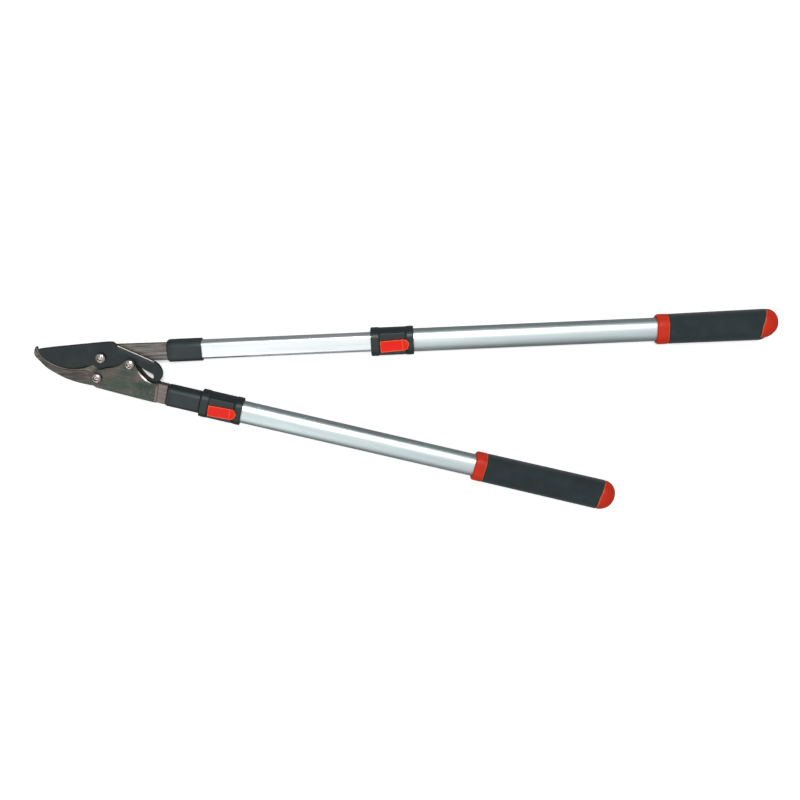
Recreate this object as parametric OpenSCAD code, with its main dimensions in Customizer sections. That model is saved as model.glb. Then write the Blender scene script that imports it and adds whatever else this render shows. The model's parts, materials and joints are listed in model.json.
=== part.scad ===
// Telescopic bypass loppers with a compound (slotted tail) cutting head.
// The tool lies flat. X runs along the upper handle towards its grip, Y is across
// in the plane of the handles, and Z is up. Z = 0 is the surface it rests on.
// Every piece is drawn in the head's own plane first, with its origin close to the
// blade pivot, and its height 0 is the plane between the hook and the cutting blade.

/* [Head] */
// Thickness of the hook and of the cutting blade
plate_t = 4.5; // [4:0.1:5]
// Gap between the hook and the cutting blade
plate_gap = 0.3; // [0.3:0.1:0.5]
// Thickness of each lever plate
lever_t = 2.5; // [2:0.1:3]
// Width of the slot in the blade's tail
slot_w = 7.4; // [7.2:0.1:7.6]
// Degrees that the blade turns for each degree of the lower handle
blade_ratio = 0.65; // [0.6:0.01:0.7]
// Largest opening of the lower handle, in degrees
open_max = 72; // [60:1:74]

/* [Pivots] */
// Radius of the two pivot shafts
pivot_r = 4; // [3.5:0.1:4.2]
// Radius of the drive pin
drive_r = 3.4; // [3:0.1:3.4]
// Radius of the bolt heads
head_r = 6; // [5:0.1:6.2]
// Radial running clearance of a shaft in its hole
run_fit = 0.05; // [0.02:0.01:0.1]

/* [Handles] */
// Angle between the two handles when the jaws are closed
spread = 16.45; // [14:0.05:18]
// Height of the handles' mid plane above the floor
mid_h = 13.5; // [13.5:0.1:14.5]
// Length that each outer tube travels
travel = 190; // [120:1:195]
// Length of a ferrule
ferrule_l = 39; // [36:1:42]
// Length of a lock collar
collar_l = 48; // [46:1:50]
// Outer tube seen between the collar and the ring, upper handle
upper_tube_l = 271.5; // [240:0.5:300]
// Outer tube seen between the collar and the ring, lower handle
lower_tube_l = 276.5; // [240:0.5:300]
// Length of the ring at the front of a grip
ring_l = 13.5; // [10:0.5:16]
// Length of the upper grip
upper_grip_l = 107; // [90:1:130]
// Length of the lower grip
lower_grip_l = 142.5; // [110:0.5:150]
// Length of an end cap
cap_l = 17; // [14:0.5:20]

/* [Sections] */
// Width of the inner tube
inner_w = 21.3; // [20.8:0.1:21.6]
// Thickness of the inner tube
inner_h = 14.5; // [14.3:0.1:14.7]
// Width of the outer tube
outer_w = 26.3; // [26:0.1:26.6]
// Thickness of the outer tube
outer_h = 19.3; // [19.1:0.1:19.4]
// Wall of both tubes
wall = 1.4; // [1.2:0.1:1.4]
// Width of the collar
collar_w = 31.8; // [31.4:0.1:32.4]
// Thickness of the collar's sleeve
collar_h = 25; // [24.6:0.1:26]
// Width of the grips
grip_w = 35.2; // [34.6:0.1:36]
// Thickness of the grips
grip_h = 27; // [26.5:0.1:27]

/* [Lock] */
// Length of the lock lever
lock_l = 31.8; // [30:0.1:33]
// Width of the lock lever
lock_w = 13; // [12.6:0.1:13.2]
// Sideways offset of the lock lever from the handle's centre line
lock_y = 2.5; // [0:0.1:3]
// Turn of the lock lever's outline about its pin, in degrees
lock_skew = 3; // [0:0.5:4]

/* [Hidden] */
$fn = 64;

// origin of the part, seen from the head's origin
org = [342.25, -96.29];
// pivots in the head's plane
piv_a = [-0.8, -0.5];
piv_b = [-7.8, -23];
piv_c = [31.5, -8.7];
// the lever's outlines, seen from its pivot
lever_shift = turn(-piv_a, spread);
// heights of the layers
hook_z0 = -plate_gap / 2 - plate_t;
blade_z0 = plate_gap / 2;
bar_h = plate_t + plate_gap / 2 + 0.35;
lever_z1 = bar_h + lever_t;
// handle axes: the upper one lies this far above the head's origin, the lower one
// this far below the lever pivot
upper_off = 3.5;
lower_off = 2.65;
upper_x0 = 75.2;
lower_x0 = 79.65;
inner_r = 5;
outer_r = 8.9;
ferrule_grip = 28;
strap_in = 14.2;
tail_overlap = 40;
inner_seen = travel + 1.5;

steel = [0.42, 0.40, 0.38];
bolt_col = [0.70, 0.68, 0.66];
blade_col = [0.17, 0.21, 0.21];
alu = [0.78, 0.80, 0.82];
plastic = [0.19, 0.22, 0.22];
foam = [0.20, 0.22, 0.24];
orange = [0.88, 0.22, 0.10];
orange_dark = [0.78, 0.20, 0.12];

// ---------- curves ----------
function cr(a, b, c, d, t) = 0.5 * (2 * b + (c - a) * t + (2 * a - 5 * b + 4 * c - d) * t * t
    + (3 * b - a - 3 * c + d) * t * t * t);
// smooth open curve through the points P, n steps for each span
function smooth(P, n = 5) = concat([for (i = [0:len(P) - 2]) for (j = [0:n - 1])
    cr(P[max(i - 1, 0)], P[i], P[i + 1], P[min(i + 2, len(P) - 1)], j / n)], [P[len(P) - 1]]);
// arc about c with radius r from angle a to angle b
function arc(c, r, a, b, n = 12) = [for (i = [0:n]) c + r * [cos(a + (b - a) * i / n), sin(a + (b - a) * i / n)]];
function turn(p, a) = [p[0] * cos(a) - p[1] * sin(a), p[0] * sin(a) + p[1] * cos(a)];

// where the drive pin is in the blade's own frame, with the lower handle opened by t
function pin_at(t) = piv_a + turn(piv_b - piv_a + turn(piv_c - piv_b, -t), blade_ratio * t);
function unit(v) = v / norm(v);
// half circle past the end of the slot, from one side to the other
function slot_end(t, s) = let (l = left_of(t) * s, d = [l[1], -l[0]])
    [for (i = [1:11]) pin_at(t) + slot_w / 2 * (cos(i * 15) * l + sin(i * 15) * d)];
function left_of(t) = let (d = unit(pin_at(t + 0.5) - pin_at(t - 0.5))) [-d[1], d[0]];

// ---------- frames ----------
module placed() translate([-org[0], -org[1], mid_h]) children();
module upper_frame() placed() translate([0, upper_off, 0]) children();
module lever_frame() placed() translate([piv_b[0], piv_b[1], 0]) rotate([0, 0, -spread]) children();
module lower_frame() lever_frame() translate([0, -lower_off, 0]) children();
module at_a() placed() translate([piv_a[0], piv_a[1], 0]) children();

// ---------- sections along a handle ----------
module rr(w, h, r) {
    square([w - 2 * r, h], center = true);
    square([w, h - 2 * r], center = true);
    for (y = [-1, 1]) for (z = [-1, 1]) translate([y * (w / 2 - r), z * (h / 2 - r)]) circle(r);
}
module bar(x0, x1, w, h, r) translate([x0, 0, 0]) rotate([90, 0, 90]) linear_extrude(x1 - x0) rr(w, h, r);

// ---------- shared fasteners ----------
// button head with a hexagon socket, seat at z, shaft down to z_end
module button_bolt(z, z_end, r) {
    difference() {
        union() {
            translate([0, 0, z_end]) cylinder(r = r, h = z - z_end + 0.5);
            intersection() {
                translate([0, 0, z]) cylinder(r = head_r, h = 4.6);
                translate([0, 0, z - 2.4]) sphere(r = 7);
            }
        }
        translate([0, 0, z + 2.2]) cylinder(r = 2.3, h = 6, $fn = 6);
    }
}
// lock nut whose washer face is at z, hanging down
module lock_nut(z, h, r) {
    difference() {
        union() {
            translate([0, 0, z - h * 0.72]) cylinder(r = 6.9, h = h * 0.72, $fn = 6);
            translate([0, 0, z - h]) cylinder(r = 5.4, h = h * 0.4);
        }
        translate([0, 0, z - h - 1]) cylinder(r = r, h = h + 2);
    }
}

// ---------- head ----------
hook_outer = [[-73.2, 14.6], [-74.6, 14.1], [-76.6, 10], [-76.9, 4.3], [-72.5, -2], [-64.5, -11.5],
    [-50.5, -21.3], [-41.5, -26], [-31, -30], [-20, -33.2], [-11, -35]];
hook_under = [[-11, -35], [-4, -34.5], [2.5, -31], [6.5, -24], [11, -14.5], [18, -7], [26, -3],
    [36, -3], [46, -5.5], [58, -7.2], [75.2, -7.6]];
hook_inner = [[19.6, 13], [10, 12.9], [1, 12.2], [-6, 10], [-11.5, 4.5], [-16.5, -1.5], [-23, -6],
    [-31, -8.6], [-40, -8.2], [-50, -5.2], [-59.6, -0.7], [-67.3, 5.5], [-71.8, 10.4], [-72.4, 12.9]];
module hook_blade() color(steel) placed() difference() {
    union() {
        translate([0, 0, hook_z0]) linear_extrude(plate_t)
            polygon(concat(smooth(hook_outer), smooth(hook_under), [[75.2, 12.4]], smooth(hook_inner)));
        translate([73, upper_off - strap_in / 2, hook_z0]) cube([39.2, strap_in, plate_t]);
    }
    for (p = [piv_a, piv_b]) translate([p[0], p[1], -20]) cylinder(r = pivot_r + run_fit, h = 40);
    for (x = [17, 29]) translate([upper_x0 + x, upper_off, -20]) cylinder(r = 2.05, h = 40);
}

blade_back = [[15, 16.9], [9, 17.3], [-6, 16.7], [-22, 15.8], [-44.5, 14.6], [-60, 13.6], [-68.6, 12.8]];
blade_edge = [[-70.4, 11.9], [-69.7, 7.6], [-66.2, 1.6], [-62.4, -2.2], [-54.5, -7.5], [-44, -11.6],
    [-34, -13.2], [-23.5, -12.6], [-13, -9.4]];
boss_r = 13.4;
blade_tail_low = [[6, -11.3], [15, -12.2], [24, -14.5], [31, -18.5], [38, -24.5], [44.5, -28.9], [51, -31.2], [58, -32]];
blade_tail_end = [[58, -32], [62.7, -29.8], [65.8, -25.2], [66.5, -19.4], [64.2, -13.2], [59.8, -8.2]];
module cutting_blade() color(blade_col) placed() difference() {
    translate([0, 0, blade_z0]) linear_extrude(plate_t) difference() {
        polygon(concat(smooth(blade_back), smooth(blade_edge), arc([0, 0], boss_r, 218, 262, 8),
            smooth(blade_tail_low), smooth(blade_tail_end), [[19.4, 13.2]]));
        // slot: the drive pin's own path, with a round end at each limit
        polygon(concat([for (t = [0:3:open_max]) pin_at(t) + left_of(t) * slot_w / 2],
            slot_end(open_max, 1), [for (t = [open_max:-3:0]) pin_at(t) - left_of(t) * slot_w / 2],
            slot_end(0, -1)));
    }
    translate([piv_a[0], piv_a[1], -20]) cylinder(r = pivot_r + run_fit, h = 40);
}

module blade_pivot_bolt() color(bolt_col) at_a() button_bolt(blade_z0 + plate_t + 0.3, -12.6, pivot_r);
module blade_pivot_nut() color(bolt_col) at_a() lock_nut(hook_z0 - 1.2, 6, pivot_r + 0.02);
module blade_pivot_washer() color(bolt_col) at_a() translate([0, 0, hook_z0 - 1.2]) difference() {
    cylinder(r = 8, h = 1.2);
    translate([0, 0, -1]) cylinder(r = pivot_r + 0.1, h = 4);
}

// lever plates, drawn in the lever's frame: x runs along the lower handle
plate_top = [[-8, 0], [-7.6, 3.5], [-3.5, 7.6], [3.5, 10.6], [9.5, 13.7], [16.3, 16.3], [22.5, 20.6],
    [26.6, 26.4], [29.8, 29.4], [33.8, 30.2], [37.4, 28.4], [39.8, 24], [44.6, 17.8], [50, 13.2], [55.5, 9.8],
    [61.5, 8.3], [68.2, 8.3]];
plate_low = [[69.2, -14.1], [51, -13.8], [28, -13.1], [4, -12.3], [-1, -11.6], [-5, -9], [-7.4, -5], [-8, 0]];
module plate_shape() difference() {
    translate(lever_shift) polygon(concat(smooth(plate_top), smooth(plate_low)));
    circle(pivot_r + run_fit);
    translate(turn(piv_c - piv_b, spread)) circle(drive_r);
    for (p = [[50, -3], [62, -3]]) translate(p) circle(2.5);
}
module lever_plate_front() color(steel) lever_frame() translate([0, 0, bar_h]) linear_extrude(lever_t) plate_shape();
module lever_plate_back() color(steel) lever_frame() translate([0, 0, -lever_z1]) linear_extrude(lever_t) plate_shape();

tang_left = [[44, -13.6], [41, -9], [40, -4.5], [42, -0.5], [47, 3.4], [53, 5.8], [59, 7.2], [66, 8.5]];
module lower_tang() color(steel) lever_frame() difference() {
    union() {
        translate([lever_shift[0], lever_shift[1], -bar_h]) linear_extrude(2 * bar_h)
            polygon(concat(smooth(tang_left), [[79, 8.5], [79, -14.4], [69, -14.3]]));
        translate([lower_x0 - 1, -lower_off - strap_in / 2, -bar_h]) cube([38, strap_in, 2 * bar_h]);
    }
    for (p = [[50, -3], [62, -3]]) translate([p[0], p[1], -20]) cylinder(r = 2.5, h = 40);
    for (x = [17, 29]) translate([lower_x0 + x, -lower_off, -20]) cylinder(r = 2.05, h = 40);
}
module plate_rivets() color(steel) lever_frame()
    for (p = [[50, -3], [62, -3]]) translate([p[0], p[1], -lever_z1]) cylinder(r = 2.5, h = 2 * lever_z1);
module lever_pivot_bolt() color(bolt_col) lever_frame() button_bolt(lever_z1, -mid_h, pivot_r);
module lever_pivot_nut() color(bolt_col) lever_frame() lock_nut(-lever_z1, mid_h - lever_z1, pivot_r + 0.02);
module lever_pivot_spacer() color(bolt_col) lever_frame() translate([0, 0, blade_z0]) difference() {
    cylinder(r = 7, h = bar_h - blade_z0);
    translate([0, 0, -1]) cylinder(r = pivot_r + run_fit, h = 10);
}
module at_drive() lever_frame() translate(concat(turn(piv_c - piv_b, spread), [0])) children();
module drive_pin() color(bolt_col) at_drive() button_bolt(lever_z1, -mid_h, drive_r);
module drive_pin_nut() color(bolt_col) at_drive() lock_nut(-lever_z1, mid_h - lever_z1, drive_r + 0.02);

// ---------- handle pieces, x from the ferrule's head end ----------
// ferrule with a core inside the tube; bar_lo and bar_hi are the faces of the bar it holds
module ferrule(bar_lo, bar_hi) difference() {
    union() {
        bar(0, 1.5, 22.7, 17.1, 6.6);
        bar(1.5, ferrule_l, 25.2, 19.6, 7.6);
    }
    difference() {
        bar(ferrule_l - ferrule_grip, ferrule_l + 1, inner_w, inner_h, inner_r);
        bar(0, ferrule_l - 2, inner_w - 2 * wall, inner_h - 2 * wall, inner_r - wall);
    }
    translate([-1, -strap_in / 2, bar_lo]) cube([38.1, strap_in, bar_hi - bar_lo]);
    for (x = [17, 29]) translate([x, 0, -inner_h / 2]) cylinder(r = 2.05, h = inner_h);
}
module tang_rivets() for (x = [17, 29]) translate([x, 0, -inner_h / 2]) cylinder(r = 2, h = inner_h);
module inner_tube() difference() {
    bar(ferrule_l - ferrule_grip, ferrule_l + inner_seen + collar_l + tail_overlap, inner_w, inner_h, inner_r);
    bar(0, 600, inner_w - 2 * wall, inner_h - 2 * wall, inner_r - wall);
    for (x = [17, 29]) translate([x, 0, -20]) cylinder(r = 2.05, h = 40);
}
// bush on the inner tube's hidden end: a flange that runs in the outer tube, and a plug
module guide_bush() {
    e = ferrule_l + inner_seen + collar_l + tail_overlap;
    bar(e, e + 8, outer_w - 2 * wall - 0.7, outer_h - 2 * wall - 0.7, outer_r - wall - 0.3);
    bar(e - 12, e + 1, inner_w - 2 * wall, inner_h - 2 * wall, inner_r - wall);
}

// ---------- sliding handle pieces, x from the collar's head end ----------
tube_in = 26;
pin_x = 22;
pin_z = 11.7;
lock_x0 = 10.6;
lock_under = 12;
lock_top = 14.9;
module lock_plan(extra) translate([pin_x, -lock_y]) rotate(lock_skew) {
    r = lock_w / 2 + extra;
    translate([lock_x0 - pin_x - extra, -r]) square([lock_l - lock_w / 2 + extra, 2 * r]);
    translate([lock_x0 - pin_x + lock_l - lock_w / 2, 0]) circle(r);
}
module collar() difference() {
    union() {
        bar(0, 1.2, collar_w - 2, collar_h - 2, 10);
        bar(1.2, 9.5, collar_w, collar_h, 10.4);
        bar(9.5, 39.5, collar_w - 0.8, collar_h - 0.8, 10);
        bar(39.5, collar_l, collar_w, collar_h, 10.4);
        // flat-topped housing for the lever
        translate([9.5, -12, 6]) cube([30, 24.5, 8.2]);
    }
    // way for the inner tube, and seat of the outer tube
    bar(-1, collar_l, inner_w + 0.8, inner_h + 0.8, inner_r + 0.4);
    bar(tube_in, collar_l + 1, outer_w, outer_h, outer_r);
    // well of the lever, open to the inner tube under its head end
    translate([0, 0, outer_h / 2 + 0.05]) linear_extrude(10) lock_plan(0.5);
    translate([lock_x0 - 0.2, -lock_y - 7.2, 5]) cube([tube_in - lock_x0 - 0.8, 14.2, 12]);
    translate([pin_x, -lock_y, pin_z]) rotate([90, 0, 0]) cylinder(r = 1.25, h = 16.4, center = true);
    translate([40, 0, -collar_h / 2 - 1]) cylinder(r = 1.5, h = 6);
    translate([40, 0, -collar_h / 2 - 0.01]) cylinder(r1 = 3, r2 = 1.5, h = 1.5);
}
module collar_screw() translate([40, 0, -collar_h / 2]) {
    cylinder(r1 = 2.9, r2 = 1.45, h = 1.45);
    translate([0, 0, 1]) cylinder(r = 1.45, h = 3.2);
}
module lock_pivot_pin() translate([pin_x, -lock_y, pin_z]) rotate([90, 0, 0]) cylinder(r = 1.25, h = 16, center = true);
// torsion spring round the pin: wire along a coil with two short legs
coil_r = 1.95;
wire_r = 0.3;
spring_path = concat([[4.6, -2.6, -1.3], [2, -2.6, -1.9]],
    [for (i = [0:32]) let (a = -90 + i * 36) [coil_r * cos(a), -2.6 + i * 4.8 / 32, coil_r * sin(a)]]);
function sweep_rings(P, r, n) = [for (i = [0:len(P) - 1])
    let (d = unit(P[min(i + 1, len(P) - 1)] - P[max(i - 1, 0)]),
         u = unit(cross(d, [0, 1, 0.02])), v = cross(d, u))
    for (k = [0:n - 1]) P[i] + r * (cos(360 * k / n) * u + sin(360 * k / n) * v)];
module sweep(P, r, n) polyhedron(points = sweep_rings(P, r, n), faces = concat(
    [[for (k = [0:n - 1]) k]], [[for (k = [n - 1:-1:0]) (len(P) - 1) * n + k]],
    [for (i = [0:len(P) - 2]) for (k = [0:n - 1])
        [i * n + k, (i + 1) * n + k, (i + 1) * n + (k + 1) % n, i * n + (k + 1) % n]]));
module lock_spring() translate([pin_x, -lock_y, pin_z]) sweep(spring_path, wire_r, 8);
// rocker: plate with a rounded thumb end, and two hubs on the pin
module lock_lever() difference() {
    union() {
        translate([0, 0, lock_under]) linear_extrude(lock_top - lock_under) lock_plan(0);
        for (y = [-1, 1]) translate([pin_x, -lock_y + y * 4.7, pin_z]) rotate([90, 0, 0])
            cylinder(r = 2.6, h = 2.6, center = true);
    }
    translate([pin_x, -lock_y, pin_z]) rotate([90, 0, 0]) cylinder(r = 1.25 + run_fit, h = 30, center = true);
    translate([pin_x - 2.8, -lock_y - 3.2, pin_z - 4]) cube([5.6, 6.4, 6.6]);
}
module brake_shoe() {
    translate([lock_x0 + 0.8, -lock_y - 5.2, inner_h / 2 + 0.35]) cube([7.2, 10.4, lock_under - inner_h / 2 - 0.35]);
}
module outer_tube(seen, grip_l) difference() {
    bar(tube_in, collar_l + seen + ring_l + grip_l, outer_w, outer_h, outer_r);
    bar(0, 800, outer_w - 2 * wall, outer_h - 2 * wall, outer_r - wall);
    translate([40, 0, -20]) cylinder(r = 1.5, h = 14);
}
module grip_ring(seen) translate([collar_l + seen, 0, 0]) difference() {
    union() {
        bar(0, 2, grip_w - 4.2, grip_h - 4, 10);
        bar(2, ring_l, grip_w - 1.6, grip_h - 0.8, 11.8);
    }
    bar(-1, ring_l + 1, outer_w, outer_h, outer_r);
}
module grip(seen, grip_l) translate([collar_l + seen + ring_l, 0, 0]) difference() {
    bar(0, grip_l, grip_w, grip_h, 12);
    bar(-1, grip_l + 1, outer_w, outer_h, outer_r);
}
// domed cap with a plug that goes inside the outer tube
module end_cap(seen, grip_l) translate([collar_l + seen + ring_l + grip_l, 0, 0]) difference() {
    union() {
        intersection() {
            bar(0, cap_l, grip_w, grip_h, 12);
            translate([cap_l - 19, 0, 0]) sphere(r = 19, $fn = 96);
        }
        bar(-16, 1, outer_w - 2 * wall - 0.1, outer_h - 2 * wall - 0.1, outer_r - wall);
    }
    bar(-17, -3, outer_w - 4 * wall, outer_h - 4 * wall, outer_r - 2 * wall);
}

module upper_slide() upper_frame() translate([upper_x0 + ferrule_l + travel + 0.5, 0, 0]) children();
module lower_slide() lower_frame() translate([lower_x0 + ferrule_l + 0.5, 0, 0]) children();

module upper_ferrule() color(plastic) upper_frame() translate([upper_x0, 0, 0]) ferrule(hook_z0, -plate_gap / 2);
module upper_tang_rivets() color(bolt_col) upper_frame() translate([upper_x0, 0, 0]) tang_rivets();
module upper_inner_tube() color(alu) upper_frame() translate([upper_x0, 0, 0]) inner_tube();
module upper_guide_bush() color(plastic) upper_frame() translate([upper_x0, 0, 0]) guide_bush();
module lower_ferrule() color(plastic) lower_frame() translate([lower_x0, 0, 0]) ferrule(-bar_h, bar_h);
module lower_tang_rivets() color(bolt_col) lower_frame() translate([lower_x0, 0, 0]) tang_rivets();
module lower_inner_tube() color(alu) lower_frame() translate([lower_x0, 0, 0]) inner_tube();
module lower_guide_bush() color(plastic) lower_frame() translate([lower_x0, 0, 0]) guide_bush();

module upper_collar() color(plastic) upper_slide() collar();
module upper_collar_screw() color(bolt_col) upper_slide() collar_screw();
module upper_lock_pivot_pin() color(bolt_col) upper_slide() lock_pivot_pin();
module upper_lock_spring() color(bolt_col) upper_slide() lock_spring();
module upper_outer_tube() color(alu) upper_slide() outer_tube(upper_tube_l, upper_grip_l);
module upper_grip_ring() color(orange_dark) upper_slide() grip_ring(upper_tube_l);
module upper_grip() color(foam) upper_slide() grip(upper_tube_l, upper_grip_l);
module upper_end_cap() color(orange_dark) upper_slide() end_cap(upper_tube_l, upper_grip_l);
module upper_lock_lever() color(orange) upper_slide() lock_lever();
module upper_brake_shoe() color(foam) upper_slide() brake_shoe();

module lower_collar() color(plastic) lower_slide() collar();
module lower_collar_screw() color(bolt_col) lower_slide() collar_screw();
module lower_lock_pivot_pin() color(bolt_col) lower_slide() lock_pivot_pin();
module lower_lock_spring() color(bolt_col) lower_slide() lock_spring();
module lower_outer_tube() color(alu) lower_slide() outer_tube(lower_tube_l, lower_grip_l);
module lower_grip_ring() color(orange_dark) lower_slide() grip_ring(lower_tube_l);
module lower_grip() color(foam) lower_slide() grip(lower_tube_l, lower_grip_l);
module lower_end_cap() color(orange_dark) lower_slide() end_cap(lower_tube_l, lower_grip_l);
module lower_lock_lever() color(orange) lower_slide() lock_lever();
module lower_brake_shoe() color(foam) lower_slide() brake_shoe();

hook_blade();
blade_pivot_bolt();
blade_pivot_nut();
blade_pivot_washer();
upper_ferrule();
upper_tang_rivets();
upper_inner_tube();
upper_guide_bush();
cutting_blade();
lever_plate_front();
lever_plate_back();
lower_tang();
plate_rivets();
lever_pivot_bolt();
lever_pivot_nut();
lever_pivot_spacer();
drive_pin();
drive_pin_nut();
lower_ferrule();
lower_tang_rivets();
lower_inner_tube();
lower_guide_bush();
upper_collar();
upper_collar_screw();
upper_lock_pivot_pin();
upper_lock_spring();
upper_outer_tube();
upper_grip_ring();
upper_grip();
upper_end_cap();
upper_lock_lever();
upper_brake_shoe();
lower_collar();
lower_collar_screw();
lower_lock_pivot_pin();
lower_lock_spring();
lower_outer_tube();
lower_grip_ring();
lower_grip();
lower_end_cap();
lower_lock_lever();
lower_brake_shoe();
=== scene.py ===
import json
import math

import bmesh
import bpy
import numpy as np
from mathutils import Matrix, Vector
from mathutils.geometry import delaunay_2d_cdt


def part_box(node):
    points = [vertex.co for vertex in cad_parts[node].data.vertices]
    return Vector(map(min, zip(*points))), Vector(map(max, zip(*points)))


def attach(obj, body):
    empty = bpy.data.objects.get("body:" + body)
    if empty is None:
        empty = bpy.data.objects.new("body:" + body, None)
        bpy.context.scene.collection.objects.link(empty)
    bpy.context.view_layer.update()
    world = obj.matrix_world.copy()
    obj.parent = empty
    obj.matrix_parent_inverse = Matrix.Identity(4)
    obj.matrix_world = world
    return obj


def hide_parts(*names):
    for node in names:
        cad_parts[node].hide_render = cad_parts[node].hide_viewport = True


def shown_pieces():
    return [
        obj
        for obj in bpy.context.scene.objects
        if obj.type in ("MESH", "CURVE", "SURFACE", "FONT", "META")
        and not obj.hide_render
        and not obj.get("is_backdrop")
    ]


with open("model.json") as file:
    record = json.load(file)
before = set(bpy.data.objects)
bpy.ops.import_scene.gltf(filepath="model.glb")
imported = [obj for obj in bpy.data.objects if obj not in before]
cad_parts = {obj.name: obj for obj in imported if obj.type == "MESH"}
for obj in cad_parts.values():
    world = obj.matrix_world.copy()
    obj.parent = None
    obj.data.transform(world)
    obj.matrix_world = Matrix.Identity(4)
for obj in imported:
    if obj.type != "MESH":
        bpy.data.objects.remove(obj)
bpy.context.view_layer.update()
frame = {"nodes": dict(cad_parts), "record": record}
NODES = frame["nodes"]
BODY_OF = {n: b for b, ns in frame["record"]["behaviour"]["bodies"].items() for n in ns}

# ---------------------------------------------------------------- frames (mm -> m)
MM = 0.001
ORG = (342.25, -96.29)
MID = 13.5
SPREAD = 16.45
PIV_A = np.array([-0.8, -0.5])
PIV_B = np.array([-7.8, -23.0])
PIV_C = np.array([31.5, -8.7])
HOOK_Z = (-4.65, -0.15)
BLADE_Z = (0.15, 4.65)
BAR_H = 5.0
LEVER_Z1 = 7.5


def rot(p, a):
    c, s = math.cos(math.radians(a)), math.sin(math.radians(a))
    p = np.asarray(p, float)
    return np.stack([p[..., 0] * c - p[..., 1] * s, p[..., 0] * s + p[..., 1] * c], -1)


def mat4(dx=0.0, dy=0.0, dz=0.0, a=0.0):
    return np.array(Matrix.Translation((dx, dy, dz)) @ Matrix.Rotation(math.radians(a), 4, "Z"))


HEAD = mat4(-ORG[0], -ORG[1], MID)
LEVER = HEAD @ mat4(PIV_B[0], PIV_B[1]) @ mat4(a=-SPREAD)
AT_A = HEAD @ mat4(PIV_A[0], PIV_A[1])
UPPER = HEAD @ mat4(0, 3.5)
LOWER = LEVER @ mat4(0, -2.65)
UP_X0, LO_X0, FER_L, INNER_SEEN, COL_L = 75.2, 79.65, 39.0, 191.5, 48.0
UP_SLIDE = UPPER @ mat4(UP_X0 + FER_L + 190.5)
LO_SLIDE = LOWER @ mat4(LO_X0 + FER_L + 0.5)
PC_LEVER = rot(PIV_C - PIV_B, SPREAD)
LEV_SHIFT = rot(-PIV_A, SPREAD)


def place(V, M):
    V = np.asarray(V, float).reshape(-1, 3)
    return (V @ M[:3, :3].T + M[:3, 3]) * MM


# ---------------------------------------------------------------- mesh helpers
def object_from(name, V, F, mats, fmat=None, angle=38.0, weld=True):
    me = bpy.data.meshes.new(name)
    me.from_pydata([tuple(v) for v in V], [], [tuple(int(i) for i in f) for f in F])
    for m in mats:
        me.materials.append(m)
    if fmat is not None:
        me.polygons.foreach_set("material_index", np.asarray(fmat, np.int32))
    if weld:
        bm = bmesh.new()
        bm.from_mesh(me)
        bmesh.ops.remove_doubles(bm, verts=bm.verts, dist=2e-7)
        bmesh.ops.dissolve_degenerate(bm, dist=1e-8, edges=bm.edges)
        bmesh.ops.recalc_face_normals(bm, faces=bm.faces)
        bm.to_mesh(me)
        bm.free()
    me.polygons.foreach_set("use_smooth", [True] * len(me.polygons))
    me.update()
    if angle is not None:
        me.set_sharp_from_angle(angle=math.radians(angle))
    ob = bpy.data.objects.new(name, me)
    bpy.context.scene.collection.objects.link(ob)
    return ob


def adopt(ob, node, also=()):
    """ob stands for CAD node(s) and rides on the same body."""
    lo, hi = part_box(node)
    co = np.array([v.co for v in ob.data.vertices])
    d = max(float(np.max(np.array(lo) - co.min(0))), float(np.max(co.max(0) - np.array(hi))))
    if d > 0.0002:
        print(f"BOX {ob.name}: {d * 1000:.2f} mm outside {node}")
    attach(ob, BODY_OF[node])
    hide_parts(node, *also)
    return ob


# ---- rounded-rectangle rings, swept along x
def rring(w, h, r, k=8, flat=4):
    """closed ring of (y, z), counter-clockwise seen from +x"""
    r = min(r, w / 2 - 1e-4, h / 2 - 1e-4)
    pts = []
    cs = [(w / 2 - r, h / 2 - r, 0), (-(w / 2 - r), h / 2 - r, 90), (-(w / 2 - r), -(h / 2 - r), 180),
          (w / 2 - r, -(h / 2 - r), 270)]
    for i, (cy, cz, a0) in enumerate(cs):
        arc = [(cy + r * math.cos(math.radians(a0 + 90 * j / k)), cz + r * math.sin(math.radians(a0 + 90 * j / k)))
               for j in range(k + 1)]
        pts += arc
        ny, nz, _ = cs[(i + 1) % 4]
        a1 = math.radians(a0 + 90)
        nxt = (ny + r * math.cos(a1), nz + r * math.sin(a1))
        for j in range(1, flat):
            t = j / flat
            pts.append((arc[-1][0] * (1 - t) + nxt[0] * t, arc[-1][1] * (1 - t) + nxt[1] * t))
    return np.array(pts)


def skin(rings, loop=False, cap0=False, cap1=False):
    """rings: list of (M, 3) arrays, quads between neighbours"""
    R, M = len(rings), len(rings[0])
    V = np.concatenate(rings)
    F = []
    for a in range(R if loop else R - 1):
        b = (a + 1) % R
        for i in range(M):
            j = (i + 1) % M
            F.append((a * M + i, a * M + j, b * M + j, b * M + i))
    if cap0:
        F.append(tuple(range(M - 1, -1, -1)))
    if cap1:
        F.append(tuple((R - 1) * M + i for i in range(M)))
    return V, F


def loft(sections, loop=False, cap0=False, cap1=False, k=8, flat=4, shear=None):
    """sections: (x, w, h, r) or (x, w, h, r, shear)"""
    rings = []
    for s in sections:
        x, w, h, r = s[:4]
        sh = s[4] if len(s) > 4 else 0.0
        yz = rring(w, h, r, k, flat)
        rings.append(np.column_stack([x + sh * yz[:, 0], yz]))
    return skin(rings, loop, cap0, cap1)


def rounded_end(x_end, w, h, r, rad, sign, n=4):
    """sections of a rounded lip that ends at x_end; sign +1 when the lip faces +x"""
    out = []
    for i in range(n + 1):
        a = math.radians(90 * i / n)
        out.append((x_end - sign * rad * (1 - math.sin(a)), w - 2 * rad * (1 - math.cos(a)),
                    h - 2 * rad * (1 - math.cos(a)), max(r - rad * (1 - math.cos(a)), 0.5)))
    return out if sign > 0 else out[::-1]


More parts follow.
